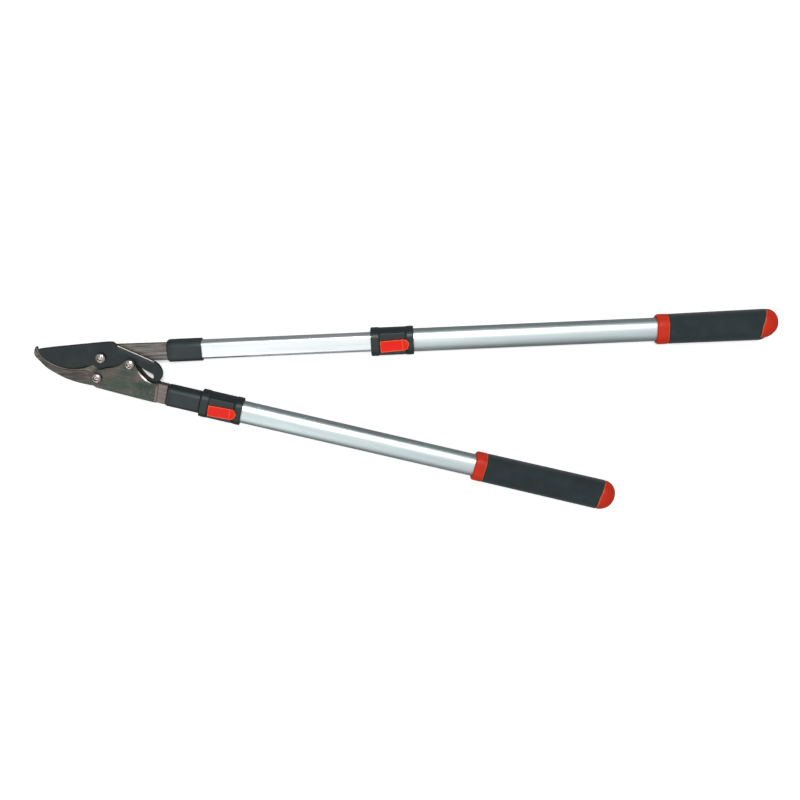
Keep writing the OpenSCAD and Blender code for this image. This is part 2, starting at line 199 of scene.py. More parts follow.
# ---- curves
def smooth(P, n=5):
    P = np.asarray(P, float)
    out = []
    for i in range(len(P) - 1):
        a, b, c, d = P[max(i - 1, 0)], P[i], P[i + 1], P[min(i + 2, len(P) - 1)]
        for j in range(n):
            t = j / n
            out.append(0.5 * (2 * b + (c - a) * t + (2 * a - 5 * b + 4 * c - d) * t * t + (3 * b - a - 3 * c + d) * t ** 3))
    out.append(P[-1])
    return np.array(out)


def dedupe(P, eps=0.02):
    out = [P[0]]
    for p in P[1:]:
        if np.hypot(*(p - out[-1])) > eps:
            out.append(p)
    if np.hypot(*(out[-1] - out[0])) <= eps:
        out.pop()
    return np.array(out)


def area2(P):
    x, y = P[:, 0], P[:, 1]
    return float(np.sum(x * np.roll(y, -1) - np.roll(x, -1) * y))


def miter(P):
    """inward miter vectors of a counter-clockwise polygon"""
    d = np.roll(P, -1, 0) - P
    d /= np.linalg.norm(d, axis=1)[:, None]
    n1 = np.stack([-d[:, 1], d[:, 0]], 1)
    n0 = np.roll(n1, 1, 0)
    m = n0 + n1
    den = 1 + np.sum(n0 * n1, 1)
    m = m / np.maximum(den, 0.35)[:, None]
    return m


def inside(P, poly):
    """even-odd test of points P against polygon"""
    x, y = P[:, 0][:, None], P[:, 1][:, None]
    x0, y0 = poly[:, 0][None], poly[:, 1][None]
    x1, y1 = np.roll(poly[:, 0], -1)[None], np.roll(poly[:, 1], -1)[None]
    with np.errstate(divide="ignore", invalid="ignore"):
        c = ((y0 > y) != (y1 > y)) & (x < (x1 - x0) * (y - y0) / (y1 - y0) + x0)
    return (np.sum(c, 1) % 2) == 1


def dist_poly(P, line):
    """signed distance from an open polyline, positive on its left; P is (n, 2)"""
    best = np.full(len(P), 1e9)
    sign = np.ones(len(P))
    for a, b in zip(line[:-1], line[1:]):
        d = b - a
        t = np.clip(((P - a) @ d) / (d @ d), 0, 1)
        q = P - (a + t[:, None] * d)
        r = np.hypot(q[:, 0], q[:, 1])
        s = np.sign(d[0] * q[:, 1] - d[1] * q[:, 0])
        m = r < best
        best = np.where(m, r, best)
        sign = np.where(m, s, sign)
    return best * sign


class Plate:
    """A flat plate cut from sheet: outline with a chamfer at every edge, holes, and a top surface that may step along lines."""

    def __init__(self, outline, z0, z1, holes=(), micro=0.28, top=None, lines=(), top_w=None, top_d=None, wall_rows=(),
                 edge_mat=None, face_mat=None):
        P = dedupe(np.asarray(outline, float))
        if area2(P) < 0:
            P = P[::-1]
        self.V, self.F, self.M = [], [], []
        self.face_mat = face_mat
        n = len(P)
        m = miter(P)
        w = np.full(n, micro) if top_w is None else np.array([top_w(p) for p in P])
        d = np.full(n, micro) if top_d is None else np.array([top_d(p) for p in P])
        ztop = (lambda Q: np.full(len(Q), float(z1))) if top is None else top
        in_top = P + m * w[:, None]
        rows = [np.column_stack([P + m * micro, np.full(n, z0)]), np.column_stack([P, np.full(n, z0 + micro)])]
        for t in wall_rows:
            zz = z0 + micro + (z1 - d - z0 - micro) * t
            rows.append(np.column_stack([P, zz]))
        rows.append(np.column_stack([P, ztop(P) - d]))
        rows.append(np.column_stack([in_top, ztop(in_top)]))
        last = len(rows) - 2
        base = 0
        for r in rows:
            self.V.append(r)
        for a in range(len(rows) - 1):
            for i in range(n):
                j = (i + 1) % n
                self.F.append((a * n + i, a * n + j, (a + 1) * n + j, (a + 1) * n + i))
                base_mat = 1 if a in (0, last) else 0
                self.M.append(base_mat if edge_mat is None else edge_mat((P[i] + P[j]) / 2, last - a, base_mat))
        count = len(rows) * n
        tops, bots = [(in_top, (len(rows) - 1) * n)], [(rows[0][:, :2], 0)]
        for H in holes:
            H = dedupe(np.asarray(H, float), 0.005)
            if area2(H) < 0:
                H = H[::-1]
            k = len(H)
            mh = miter(H)
            c = 0.2
            outp = H - mh * c
            hr = [np.column_stack([outp, np.full(k, z0)]), np.column_stack([H, np.full(k, z0 + c)]),
                  np.column_stack([H, ztop(H) - c]), np.column_stack([outp, ztop(outp)])]
            for a in range(3):
                for i in range(k):
                    j = (i + 1) % k
                    self.F.append((count + a * k + j, count + a * k + i, count + (a + 1) * k + i, count + (a + 1) * k + j))
                    self.M.append(1)
            for r in hr:
                self.V.append(r)
            tops.append((outp, count + 3 * k))
            bots.append((outp, count))
            count += 4 * k
        self.count = count
        self._face(tops, ztop, lines, True)
        self._face(bots, lambda Q: np.full(len(Q), float(z0)), (), False)

    def _face(self, loops, zf, lines, up):
        pts, edges, index = [], [], []
        for L, start in loops:
            s = len(pts)
            pts += [Vector(p) for p in L]
            index += [start + i for i in range(len(L))]
            edges += [(s + i, s + (i + 1) % len(L)) for i in range(len(L))]
        for L in lines:
            s = len(pts)
            pts += [Vector(p) for p in L]
            index += [None] * len(L)
            edges += [(s + i, s + i + 1) for i in range(len(L) - 1)]
        vs, _, fs, ov, _, _ = delaunay_2d_cdt(pts, edges, [], 0, 1e-5)
        extra, idx = [], []
        for i, v in enumerate(vs):
            src = [index[o] for o in ov[i] if index[o] is not None] if ov[i] else []
            if src:
                idx.append(src[0])
            else:
                idx.append(self.count + len(extra))
                extra.append((v[0], v[1]))
        if extra:
            E = np.array(extra)
            self.V.append(np.column_stack([E, zf(E)]))
            self.count += len(extra)
        C = np.array([[(vs[f[0]][c] + vs[f[1]][c] + vs[f[2]][c]) / 3 for c in (0, 1)] for f in fs])
        keep = inside(C, np.asarray(loops[0][0]))
        for L, _ in loops[1:]:
            keep &= ~inside(C, np.asarray(L))
        for f, kf, c in zip(fs, keep, C):
            if kf:
                t = tuple(idx[i] for i in f)
                self.F.append(t if up else t[::-1])
                self.M.append(self.face_mat(c) if (up and self.face_mat) else 0)

    def build(self, name, M, mats, angle=32.0):
        return object_from(name, place(np.concatenate(self.V), M), self.F, mats, self.M, angle)


def circle(c, r, n=48):
    a = np.linspace(0, 2 * math.pi, n, endpoint=False)
    return np.stack([c[0] + r * np.cos(a), c[1] + r * np.sin(a)], 1)


# ---- signed distance solids
def sd_rr(y, z, w, h, r):
    qy, qz = np.abs(y) - (w / 2 - r), np.abs(z) - (h / 2 - r)
    return np.hypot(np.maximum(qy, 0), np.maximum(qz, 0)) + np.minimum(np.maximum(qy, qz), 0) - r


def slab(x, a, b):
    return np.maximum(a - x, x - b)


def rmax(a, b, r):
    return np.minimum(-r, np.maximum(a, b)) + np.hypot(np.maximum(a + r, 0), np.maximum(b + r, 0))


def rmin(a, b, r):
    return -rmax(-a, -b, r)


def sstep(x, a, b):
    t = np.clip((x - a) / (b - a), 0, 1)
    return t * t * (3 - 2 * t)


def nets(f, lo, hi, h):
    """surface nets with the vertices drawn onto the surface; returns V, quads"""
    lo = np.asarray(lo, float)
    n = np.ceil((np.asarray(hi, float) - lo) / h).astype(int) + 1
    ax = [lo[i] + h * np.arange(n[i]) for i in range(3)]
    X, Y, Z = np.meshgrid(*ax, indexing="ij")
    G = f(X, Y, Z).astype(np.float32)
    S = G < 0
    c = np.zeros(tuple(n - 1), np.int8)
    offs = [(i, j, k) for i in (0, 1) for j in (0, 1) for k in (0, 1)]
    for i, j, k in offs:
        c += S[i:n[0] - 1 + i, j:n[1] - 1 + j, k:n[2] - 1 + k]
    mask = (c > 0) & (c < 8)
    cells = np.argwhere(mask)
    ids = np.full(mask.shape, -1, np.int64)
    ids[mask] = np.arange(len(cells))
    P = np.zeros((len(cells), 3))
    W = np.zeros(len(cells))
    for a in offs:
        for axis in range(3):
            if a[axis] == 0:
                b = list(a)
                b[axis] = 1
                fa = G[cells[:, 0] + a[0], cells[:, 1] + a[1], cells[:, 2] + a[2]]
                fb = G[cells[:, 0] + b[0], cells[:, 1] + b[1], cells[:, 2] + b[2]]
                cr = (fa < 0) != (fb < 0)
                t = np.where(cr, fa / np.where(cr, fa - fb, 1), 0)
                q = np.tile(np.array(a, float), (len(cells), 1))
                q[:, axis] += t
                P += np.where(cr[:, None], q, 0)
                W += cr
    P = (P / W[:, None] + cells) * h + lo
    quads = []
    for axis in range(3):
        o1, o2 = (axis + 1) % 3, (axis + 2) % 3
        sl0 = [slice(None)] * 3
        sl1 = [slice(None)] * 3
        sl0[axis], sl1[axis] = slice(0, -1), slice(1, None)
        A, B = S[tuple(sl0)], S[tuple(sl1)]
        E = np.argwhere(A != B)
        ok = (E[:, o1] > 0) & (E[:, o2] > 0) & (E[:, o1] < n[o1] - 1) & (E[:, o2] < n[o2] - 1)
        E = E[ok]
        flip = A[E[:, 0], E[:, 1], E[:, 2]]
        q = []
        for d1, d2 in ((-1, -1), (0, -1), (0, 0), (-1, 0)):
            e = E.copy()
            e[:, o1] += d1
            e[:, o2] += d2
            q.append(ids[e[:, 0], e[:, 1], e[:, 2]])
        q = np.stack(q, 1)
        q[~flip] = q[~flip][:, ::-1]
        quads.append(q)
    Q = np.concatenate(quads)
    e = 0.08 * h
    for _ in range(4):
        v = f(P[:, 0], P[:, 1], P[:, 2])
        g = np.stack([(f(P[:, 0] + e * (i == 0), P[:, 1] + e * (i == 1), P[:, 2] + e * (i == 2))
                       - f(P[:, 0] - e * (i == 0), P[:, 1] - e * (i == 1), P[:, 2] - e * (i == 2))) / (2 * e)
                      for i in range(3)], 1)
        g2 = np.maximum(np.sum(g * g, 1), 0.2)
        step = -(v / g2)[:, None] * g
        ln = np.linalg.norm(step, axis=1)
        step *= np.minimum(1, 0.35 * h / np.maximum(ln, 1e-9))[:, None]
        P = P + step
    return P, Q


def sdf_object(name, f, lo, hi, h, M, mats, angle=None):
    P, Q = nets(f, lo, hi, h)
    return object_from(name, place(P, M), Q, mats, None, angle, weld=False)


# ---------------------------------------------------------------- materials
class Mat:
    def __init__(self, name):
        self.m = bpy.data.materials.new(name)
        self.m.use_nodes = True
        self.t = self.m.node_tree
        self.t.nodes.clear()
        self.out = self.t.nodes.new("ShaderNodeOutputMaterial")
        self.b = self.t.nodes.new("ShaderNodeBsdfPrincipled")
        self.t.links.new(self.b.outputs[0], self.out.inputs[0])
        self.tc = self.t.nodes.new("ShaderNodeTexCoord")

    def set(self, **kw):
        for k, v in kw.items():
            self.b.inputs[k.replace("_", " ")].default_value = v
        return self

    def link(self, a, b):
        self.t.links.new(a, b)

    def coords(self, scale=(1, 1, 1), rz=0.0):
        a = self.t.nodes.new("ShaderNodeMapping")
        a.inputs["Rotation"].default_value = (0, 0, math.radians(rz))
        self.link(self.tc.outputs["Object"], a.inputs["Vector"])
        b = self.t.nodes.new("ShaderNodeMapping")
        b.inputs["Scale"].default_value = scale
        self.link(a.outputs[0], b.inputs["Vector"])
        return b.outputs[0]

    def noise(self, vec, scale, detail=3.0, rough=0.55, dist=0.0):
        n = self.t.nodes.new("ShaderNodeTexNoise")
        n.inputs["Scale"].default_value = scale
        n.inputs["Detail"].default_value = detail
        n.inputs["Roughness"].default_value = rough
        n.inputs["Distortion"].default_value = dist
        self.link(vec, n.inputs["Vector"])
        return n.outputs["Fac"]

    def voronoi(self, vec, scale, feature="F1"):
        n = self.t.nodes.new("ShaderNodeTexVoronoi")
        n.feature = feature
        n.inputs["Scale"].default_value = scale
        self.link(vec, n.inputs["Vector"])
        return n.outputs["Distance"]

    def ramp(self, fac, stops):
        r = self.t.nodes.new("ShaderNodeValToRGB")
        els = r.color_ramp.elements
        while len(els) > 1:
            els.remove(els[-1])
        els[0].position, els[0].color = stops[0][0], (*stops[0][1], 1)
        for p, c in stops[1:]:
            e = els.new(p)
            e.color = (*c, 1)
        self.link(fac, r.inputs["Fac"])
        return r.outputs["Color"]

    def remap(self, fac, a, b, c, d):
        r = self.t.nodes.new("ShaderNodeMapRange")
        for k, v in zip(("From Min", "From Max", "To Min", "To Max"), (a, b, c, d)):
            r.inputs[k].default_value = v
        self.link(fac, r.inputs["Value"])
        return r.outputs["Result"]

    def math(self, op, a, b):
        n = self.t.nodes.new("ShaderNodeMath")
        n.operation = op
        for i, v in enumerate((a, b)):
            if isinstance(v, (int, float)):
                n.inputs[i].default_value = v
            else:
                self.link(v, n.inputs[i])
        return n.outputs[0]

    def mix(self, fac, a, b, mode="MIX"):
        n = self.t.nodes.new("ShaderNodeMix")
        n.data_type = "RGBA"
        n.blend_type = mode
        for s, v in ((n.inputs["Factor"], fac), (n.inputs["A"] if False else n.inputs[6], a), (n.inputs[7], b)):
            if isinstance(v, (int, float)):
                s.default_value = v
            elif isinstance(v, tuple):
                s.default_value = (*v, 1)
            else:
                self.link(v, s)
        return n.outputs[2]

    def bump(self, height, strength, dist, prev=None):
        n = self.t.nodes.new("ShaderNodeBump")
        n.inputs["Strength"].default_value = strength
        n.inputs["Distance"].default_value = dist
        self.link(height, n.inputs["Height"])
        if prev is not None:
            self.link(prev, n.inputs["Normal"])
        return n.outputs["Normal"]

    def to(self, socket, name):
        self.link(socket, self.b.inputs[name])
        return self


def lin(r, g, b):
    f = lambda c: ((c / 255 + 0.055) / 1.055) ** 2.4 if c / 255 > 0.04045 else c / 255 / 12.92
    return (f(r), f(g), f(b))


def m_steel(name, c_a, c_b, c_c, rough=(0.36, 0.5), rz=0.0, metal=0.75, brush=0.12, streak=0.0):
    """oiled sheet steel: blotchy tint, fine cross grinding, small specks and scratches"""
    m = Mat(name).set(Metallic=metal)
    v = m.coords()
    big = m.noise(v, 55.0, 4.0, 0.6, 0.4)
    col = m.ramp(big, [(0.3, c_a), (0.52, c_b), (0.72, c_c)])
    fine = m.noise(v, 700.0, 3.0, 0.65)
    col = m.mix(0.35, col, m.ramp(fine, [(0.3, (0.55, 0.55, 0.55)), (0.7, (1.3, 1.3, 1.3))]), "MULTIPLY")
    grain = m.noise(m.coords((700, 6000, 700), rz + 20), 1.0, 2.0, 0.6)
    grain2 = m.noise(m.coords((900, 9000, 900), rz - 64), 1.0, 2.0, 0.6)
    if streak:
        s1 = m.noise(m.coords((26, 420, 420), rz), 1.0, 3.0, 0.6)
        col = m.mix(streak, col, m.ramp(s1, [(0.38, (0.42, 0.44, 0.44)), (0.48, (0.8, 0.8, 0.8)), (0.54, (1.2, 1.05, 1.0)), (0.64, (1.6, 1.6, 1.55))]), "MULTIPLY")
    rr = m.math("ADD", m.math("MULTIPLY", grain, 0.5), m.math("MULTIPLY", big, 0.5))
    m.to(col, "Base Color").to(m.remap(rr, 0.3, 0.7, *rough), "Roughness")
    nb = m.bump(grain, brush, 0.00004)
    nb = m.bump(grain2, brush * 0.5, 0.00003, nb)
    nb = m.bump(m.noise(v, 260.0, 2.0, 0.5), 0.12, 0.00015, nb)
    m.to(nb, "Normal")
    return m.m


def m_plastic(name, c_a, c_b, rough=(0.4, 0.52), grain=1600.0, depth=0.00004, strength=0.35, spec=0.5):
    """moulded plastic with a fine spark-eroded grain"""
    m = Mat(name)
    m.b.inputs["Specular IOR Level"].default_value = spec
    v = m.coords()
    big = m.noise(v, 60.0, 3.0, 0.55)
    col = m.ramp(big, [(0.3, c_a), (0.7, c_b)])
    m.to(col, "Base Color").to(m.remap(big, 0.3, 0.7, *rough), "Roughness")
    nb = m.bump(m.noise(v, grain, 2.0, 0.6), strength, depth)
    nb = m.bump(m.noise(v, 90.0, 2.0, 0.5), 0.06, 0.0004, nb)
    m.to(nb, "Normal")
    return m.m


def m_alu(name, rz, tones=((192, 203, 203), (205, 216, 216), (217, 227, 227)), rough=(0.35, 0.47)):
    """satin anodised tube, drawn and brushed along its length"""
    m = Mat(name).set(Metallic=1.0)
    brush = m.noise(m.coords((9, 2600, 2600), rz), 1.0, 3.0, 0.6)
    wide = m.noise(m.coords((14, 260, 260), rz), 1.0, 2.0, 0.5)
    cloud = m.noise(m.coords(), 22.0, 3.0, 0.6)
    col = m.ramp(m.math("ADD", m.math("MULTIPLY", wide, 0.5), m.math("MULTIPLY", brush, 0.5)),
                 [(0.3, lin(*tones[0])), (0.55, lin(*tones[1])), (0.75, lin(*tones[2]))])
    m.to(col, "Base Color")
    m.to(m.remap(m.math("ADD", m.math("MULTIPLY", brush, 0.6), m.math("MULTIPLY", cloud, 0.4)), 0.3, 0.7, *rough), "Roughness")
    nb = m.bump(brush, 0.16, 0.00003)
    nb = m.bump(wide, 0.05, 0.00006, nb)
    m.to(nb, "Normal")
    return m.m


def m_foam(name):
    """closed-cell foam sleeve: fine cells, soft large dents, slight sheen"""
    m = Mat(name)
    m.b.inputs["Specular IOR Level"].default_value = 0.28
    m.b.inputs["Sheen Weight"].default_value = 0.12
    m.b.inputs["Sheen Roughness"].default_value = 0.5
    v = m.coords()
    cells = m.voronoi(v, 1500.0)
    fine = m.noise(v, 900.0, 3.0, 0.65)
    big = m.noise(v, 45.0, 4.0, 0.6)
    col = m.ramp(big, [(0.3, lin(27, 38, 40)), (0.7, lin(37, 48, 50))])
    col = m.mix(0.5, col, m.ramp(fine, [(0.3, (0.6, 0.6, 0.6)), (0.7, (1.35, 1.35, 1.35))]), "MULTIPLY")
    m.to(col, "Base Color").to(m.remap(fine, 0.3, 0.7, 0.7, 0.9), "Roughness")
    nb = m.bump(cells, 0.35, 0.00012)
    nb = m.bump(fine, 0.25, 0.0001, nb)
    nb = m.bump(big, 0.15, 0.0006, nb)
    m.to(nb, "Normal")
    return m.m


def m_bright(name, c_a, c_b, rough=(0.16, 0.3), metal=1.0):
    """zinc-plated or turned metal with faint turning marks and handling wear"""
    m = Mat(name).set(Metallic=metal)
    v = m.coords()
    big = m.noise(v, 300.0, 3.0, 0.6)
    fine = m.noise(v, 2500.0, 2.0, 0.6)
    col = m.ramp(big, [(0.3, c_a), (0.7, c_b)])
    m.to(col, "Base Color").to(m.remap(fine, 0.3, 0.7, *rough), "Roughness")
    nb = m.bump(fine, 0.08, 0.00003)
    nb = m.bump(big, 0.06, 0.0001, nb)
    m.to(nb, "Normal")
    return m.m


def m_coat(name):
    """dark non-stick coating on the blade, orange-peel surface with light scuffs"""
    m = Mat(name).set(Metallic=0.0)
    m.b.inputs["Specular IOR Level"].default_value = 0.38
    v = m.coords()
    big = m.noise(v, 40.0, 4.0, 0.6, 0.3)
    col = m.ramp(big, [(0.32, lin(3, 19, 23)), (0.5, lin(14, 28, 30)), (0.68, lin(32, 38, 37))])
    scr = m.noise(m.coords((400, 5200, 400), 32), 1.0, 3.0, 0.7)
    scuff = m.remap(scr, 0.62, 0.8, 0.0, 0.16)
    col = m.mix(scuff, col, lin(88, 88, 84))
    m.to(col, "Base Color").to(m.remap(big, 0.3, 0.7, 0.36, 0.48), "Roughness")
    nb = m.bump(m.noise(v, 1100.0, 2.0, 0.5), 0.22, 0.00004)
    nb = m.bump(scr, 0.1, 0.00003, nb)
    m.to(nb, "Normal")
    return m.m


STEEL = m_steel("hook_steel", lin(76, 74, 71), lin(94, 88, 84), lin(80, 83, 80), streak=0.7)
STRAP = m_steel("strap_steel", lin(93, 93, 92), lin(114, 111, 108), lin(98, 103, 101), streak=0.75)
STEEL_LEVER = m_steel("lever_steel", lin(50, 70, 62), lin(80, 84, 77), lin(112, 94, 88), rz=16.45, streak=0.25)
STEEL_TANG = m_steel("tang_steel", lin(108, 101, 98), lin(126, 116, 112), lin(100, 98, 94), rz=16.45, streak=0.3)
# ground-steel tone raised into a painted highlight, used on the lever plate's concave top chamfer and on the wall
# inside the hook tip
GROUND_EDGE_HIGHLIGHT = m_steel("ground_edge_painted_highlight", lin(186, 178, 170), lin(206, 200, 194), lin(170, 164, 158), rough=(0.25, 0.4), metal=0.9, brush=0.06)
# dark steel used as painted shade along the hook's relief step, on the hook's outer chamfer and on the lever plate's
# wall under its concave edge
SHADE_LINE = m_steel("painted_shade_line", lin(40, 36, 32), lin(48, 44, 40), lin(38, 38, 36), rough=(0.5, 0.6), metal=0.4)
LAND = m_steel("relief_land", lin(112, 101, 92), lin(126, 115, 106), lin(104, 98, 90), metal=0.8, brush=0.08)
# dark steel used as painted shade in the blade's crease
CREASE_SHADE = m_steel("crease_painted_shade", lin(30, 24, 24), lin(40, 30, 30), lin(26, 24, 24), rough=(0.5, 0.6), metal=0.1)
# lighter bare steel of cut and ground edges; on the blade tail's wall it also paints a highlight band
CUT_EDGE_AND_GLINT = m_steel("cut_edge_and_painted_glint", lin(122, 112, 105), lin(138, 130, 124), lin(112, 110, 104), rough=(0.3, 0.44), metal=0.85)
COAT = m_coat("blade_coat")
BOLT = m_bright("bolt_plate", lin(172, 160, 154), lin(204, 194, 188), rough=(0.1, 0.16))
# dark metal used as painted shade in the bolt sockets and round the foot of the heads
BOLT_SHADE = m_bright("bolt_painted_shade", lin(40, 30, 28), lin(62, 48, 44), rough=(0.22, 0.34))
STUD = m_bright("fastener_zinc", lin(160, 156, 150), lin(186, 182, 176), rough=(0.25, 0.4))
PLASTIC = m_plastic("collar_plastic", lin(24, 33, 32), lin(33, 43, 42), rough=(0.36, 0.46), spec=0.4)
FERRULE = m_plastic("ferrule_plastic", lin(27, 38, 39), lin(38, 50, 51), rough=(0.44, 0.54), spec=0.42)
ORANGE = m_plastic("trim_orange", lin(182, 34, 8), lin(194, 42, 10), rough=(0.36, 0.46), grain=1400, strength=0.2, spec=0.25)
# lighter orange used as a painted highlight on the lips of the grip rings and end caps
ORANGE_RIM_HIGHLIGHT = m_plastic("trim_rim_painted_highlight", lin(188, 82, 40), lin(200, 92, 46), rough=(0.34, 0.44), grain=1400, strength=0.2, spec=0.4)
RED = m_plastic("lever_orange", lin(214, 20, 4), lin(224, 28, 5), rough=(0.3, 0.4), grain=1400, strength=0.15, spec=0.25)
# lighter orange-red used as a painted highlight on the lock lever's top rim
RED_RIM_HIGHLIGHT = m_plastic("lever_rim_painted_highlight", lin(222, 78, 28), lin(232, 90, 34), rough=(0.26, 0.36), grain=1400, strength=0.15, spec=0.45)
FOAM = m_foam("grip_foam")
ALU_U = m_alu("tube_upper", 0.0)
ALU_IN_U = m_alu("inner_tube_upper", 0.0, ((232, 241, 242), (244, 250, 251), (252, 254, 254)), (0.24, 0.34))
ALU_IN_L = m_alu("inner_tube_lower", SPREAD, ((232, 241, 242), (244, 250, 251), (252, 254, 254)), (0.24, 0.34))
ALU_L = m_alu("tube_lower", SPREAD)
RUBBER = m_plastic("shoe_rubber_mat", lin(34, 36, 38), lin(42, 44, 46), rough=(0.7, 0.85), grain=900, strength=0.4, spec=0.3)

# ---------------------------------------------------------------- head plates
hook_outer = [[-73.2, 14.6], [-74.6, 14.1], [-76.6, 10], [-76.9, 4.3], [-72.5, -2], [-64.5, -11.5],
              [-50.5, -21.3], [-41.5, -26], [-31, -30], [-20, -33.2], [-11, -35]]
hook_under = [[-11, -35], [-4, -34.5], [2.5, -31], [6.5, -24], [11, -14.5], [18, -7], [26, -3],
              [36, -3], [46, -5.5], [58, -7.2], [75.2, -7.6]]
hook_inner = [[19.6, 13], [10, 12.9], [1, 12.2], [-6, 10], [-11.5, 4.5], [-16.5, -1.5], [-23, -6],
              [-31, -8.6], [-40, -8.2], [-50, -5.2], [-59.6, -0.7], [-67.3, 5.5], [-71.8, 10.4], [-72.4, 12.9]]
# edge of the sap relief ground into the hook's face, left (inner) side lowered
relief = smooth([[-74.3, 11.4], [-73.9, 7.6], [-70.4, 1.6], [-65.2, -3.8], [-58, -8.9], [-48, -12.9], [-36, -15.4], [-27, -15.8],
                 [-20.5, -16.6], [-16.5, -19.0], [-14.5, -23.5]], 4)
md = np.gradient(relief, axis=0)
md /= np.linalg.norm(md, axis=1)[:, None]
relief_in = relief + np.stack([-md[:, 1], md[:, 0]], 1) * 0.8
for L in (relief, relief_in):
    assert np.all(np.isfinite(L))


def hook_top(Q):
    d = dist_poly(Q, relief)
    fade = np.clip((-14.0 - Q[:, 0]) / 3.0, 0, 1)
    return HOOK_Z[1] - 0.45 * np.clip(d / 0.8, 0, 1) * fade


# the strap that goes into the ferrule
strap = [[75.2, -3.6], [112.2, -3.6], [112.2, 10.6], [75.2, 10.6], [75.2, 12.4]]
hook_line = np.concatenate([smooth(hook_outer, 6), smooth(hook_under, 6), strap, smooth(hook_inner, 6)])


def hook_face(c):
    if c[0] > 14:
        return 5
    if c[0] > -14.5 and c[1] < -17:
        return 0
    d = dist_poly(c[None], relief)[0]
    # index 3 paints shade dark on the sloped strip along the relief step; index 4 is the lighter ground land
    return 0 if d < 0 else (3 if d < 0.85 else 4)


hook_rim = smooth(hook_outer, 6)


def hook_outside(q):
    return float(np.min(np.hypot(*(hook_rim - q).T))) < 1.2


def hook_w(q):
    return 0.75 if hook_outside(q) and q[0] < -14 else 0.3


def hook_edge_mat(q, below_top, base):
    # index 3 paints shade dark on the outer top chamfer; index 2 paints a highlight on the wall inside the hook tip
    if below_top == 0 and hook_outside(q) and q[0] < -14:
        return 3
    return 2 if below_top == 1 and -73 < q[0] < -55 and not hook_outside(q) else base


p = Plate(hook_line, *HOOK_Z, holes=[circle(PIV_A, 4.05), circle(PIV_B, 4.05)], micro=0.3, top=hook_top,
          lines=[relief, relief_in], face_mat=hook_face, top_w=hook_w, top_d=hook_w, edge_mat=hook_edge_mat)
adopt(p.build("hook_blade_steel", HEAD, [STEEL, CUT_EDGE_AND_GLINT, GROUND_EDGE_HIGHLIGHT, SHADE_LINE, LAND, STRAP]), "hook_blade")

blade_back = [[15, 16.9], [9, 17.3], [-6, 16.7], [-22, 15.8], [-44.5, 14.6], [-60, 13.6], [-68.6, 12.8]]
blade_edge = [[-70.4, 11.9], [-69.7, 7.6], [-66.2, 1.6], [-62.4, -2.2], [-54.5, -7.5], [-44, -11.6],
              [-34, -13.2], [-23.5, -12.6], [-13, -9.4]]
blade_tail_low = [[6, -11.3], [15, -12.2], [24, -14.5], [31, -18.5], [38, -24.5], [44.5, -28.9], [51, -31.2], [58, -32]]
blade_tail_end = [[58, -32], [62.7, -29.8], [65.8, -25.2], [66.5, -19.4], [64.2, -13.2], [59.8, -8.2]]
arc = [[13.4 * math.cos(math.radians(a)), 13.4 * math.sin(math.radians(a))] for a in np.linspace(218, 262, 10)]
tail_top = [[59.8 + (19.4 - 59.8) * t, -8.2 + (13.2 + 8.2) * t] for t in np.linspace(0.02, 0.98, 12)]
blade_line = np.concatenate([smooth(blade_back, 6), smooth(blade_edge, 6), arc, smooth(blade_tail_low, 6),
                             smooth(blade_tail_end, 6), tail_top, [[19.4, 13.2]]])


def pin_at(t):
    return PIV_A + rot(PIV_B - PIV_A + rot(PIV_C - PIV_B, -t), 0.65 * t)


def slot_poly(hw=3.7):
    def left(t):
        d = pin_at(t + 0.5) - pin_at(t - 0.5)
        d /= np.hypot(*d)
        return np.array([-d[1], d[0]])

    def end(t, s):
        l = left(t) * s
        d = np.array([l[1], -l[0]])
        return [pin_at(t) + hw * (math.cos(math.radians(i * 12)) * l + math.sin(math.radians(i * 12)) * d) for i in range(1, 15)]
    ts = np.arange(0, 72.1, 3)
    return np.array([pin_at(t) + left(t) * hw for t in ts] + end(72, 1) + [pin_at(t) - left(t) * hw for t in ts[::-1]] + end(0, -1))


edge_line = smooth(blade_edge, 6)
tail_dir = np.array([59.8 - 19.4, -8.2 - 13.2])
tail_dir /= np.hypot(*tail_dir)


def near_edge(q):
    return float(np.min(np.hypot(*(edge_line - q).T)))


def on_tail(q):
    v = np.asarray(q) - np.array([19.4, 13.2])
    t = v @ tail_dir
    o = abs(v[0] * tail_dir[1] - v[1] * tail_dir[0])
    return o < 0.2 and 0.5 < t < 45


def blade_w(q):
    if near_edge(q) < 0.05:
        tip = np.clip((q[0] + 70.5) / 8.0, 0.12, 1)
        root = np.clip((-12.2 - q[0]) / 5.0, 0.12, 1)
        return 2.6 * tip * root
    return 0.75 if on_tail(q) else 0.28


def blade_d(q):
    if near_edge(q) < 0.05:
        tip = np.clip((q[0] + 70.5) / 8.0, 0.12, 1)
        root = np.clip((-12.2 - q[0]) / 5.0, 0.12, 1)
        return 3.4 * tip * root
    return 0.45 if on_tail(q) else 0.28


crease = np.array([[15.3, 17.4], [14.3, 8], [13.7, 0], [13.4, -12.6]])


def blade_top(Q):
    return BLADE_Z[1] - 0.3 * np.clip(dist_poly(Q, crease) / 0.9, 0, 1)


def blade_face(c):
    d = dist_poly(c[None], crease)[0]
    # the slope down from the crease gets painted shade
    return 3 if 0 < d < 0.95 and c[1] > -2 else 0



def blade_edge_mat(q, below_top, base):
    # on the tail's straight upper edge the top chamfer is bare cut steel; the middle band of the wall is a painted
    # highlight, with coated wall above and below it
    if on_tail(q):
        return {0: 1, 1: 0, 2: 1}.get(below_top, 0)
    if near_edge(q) < 0.6 and below_top >= 1:
        return 1
    return 0


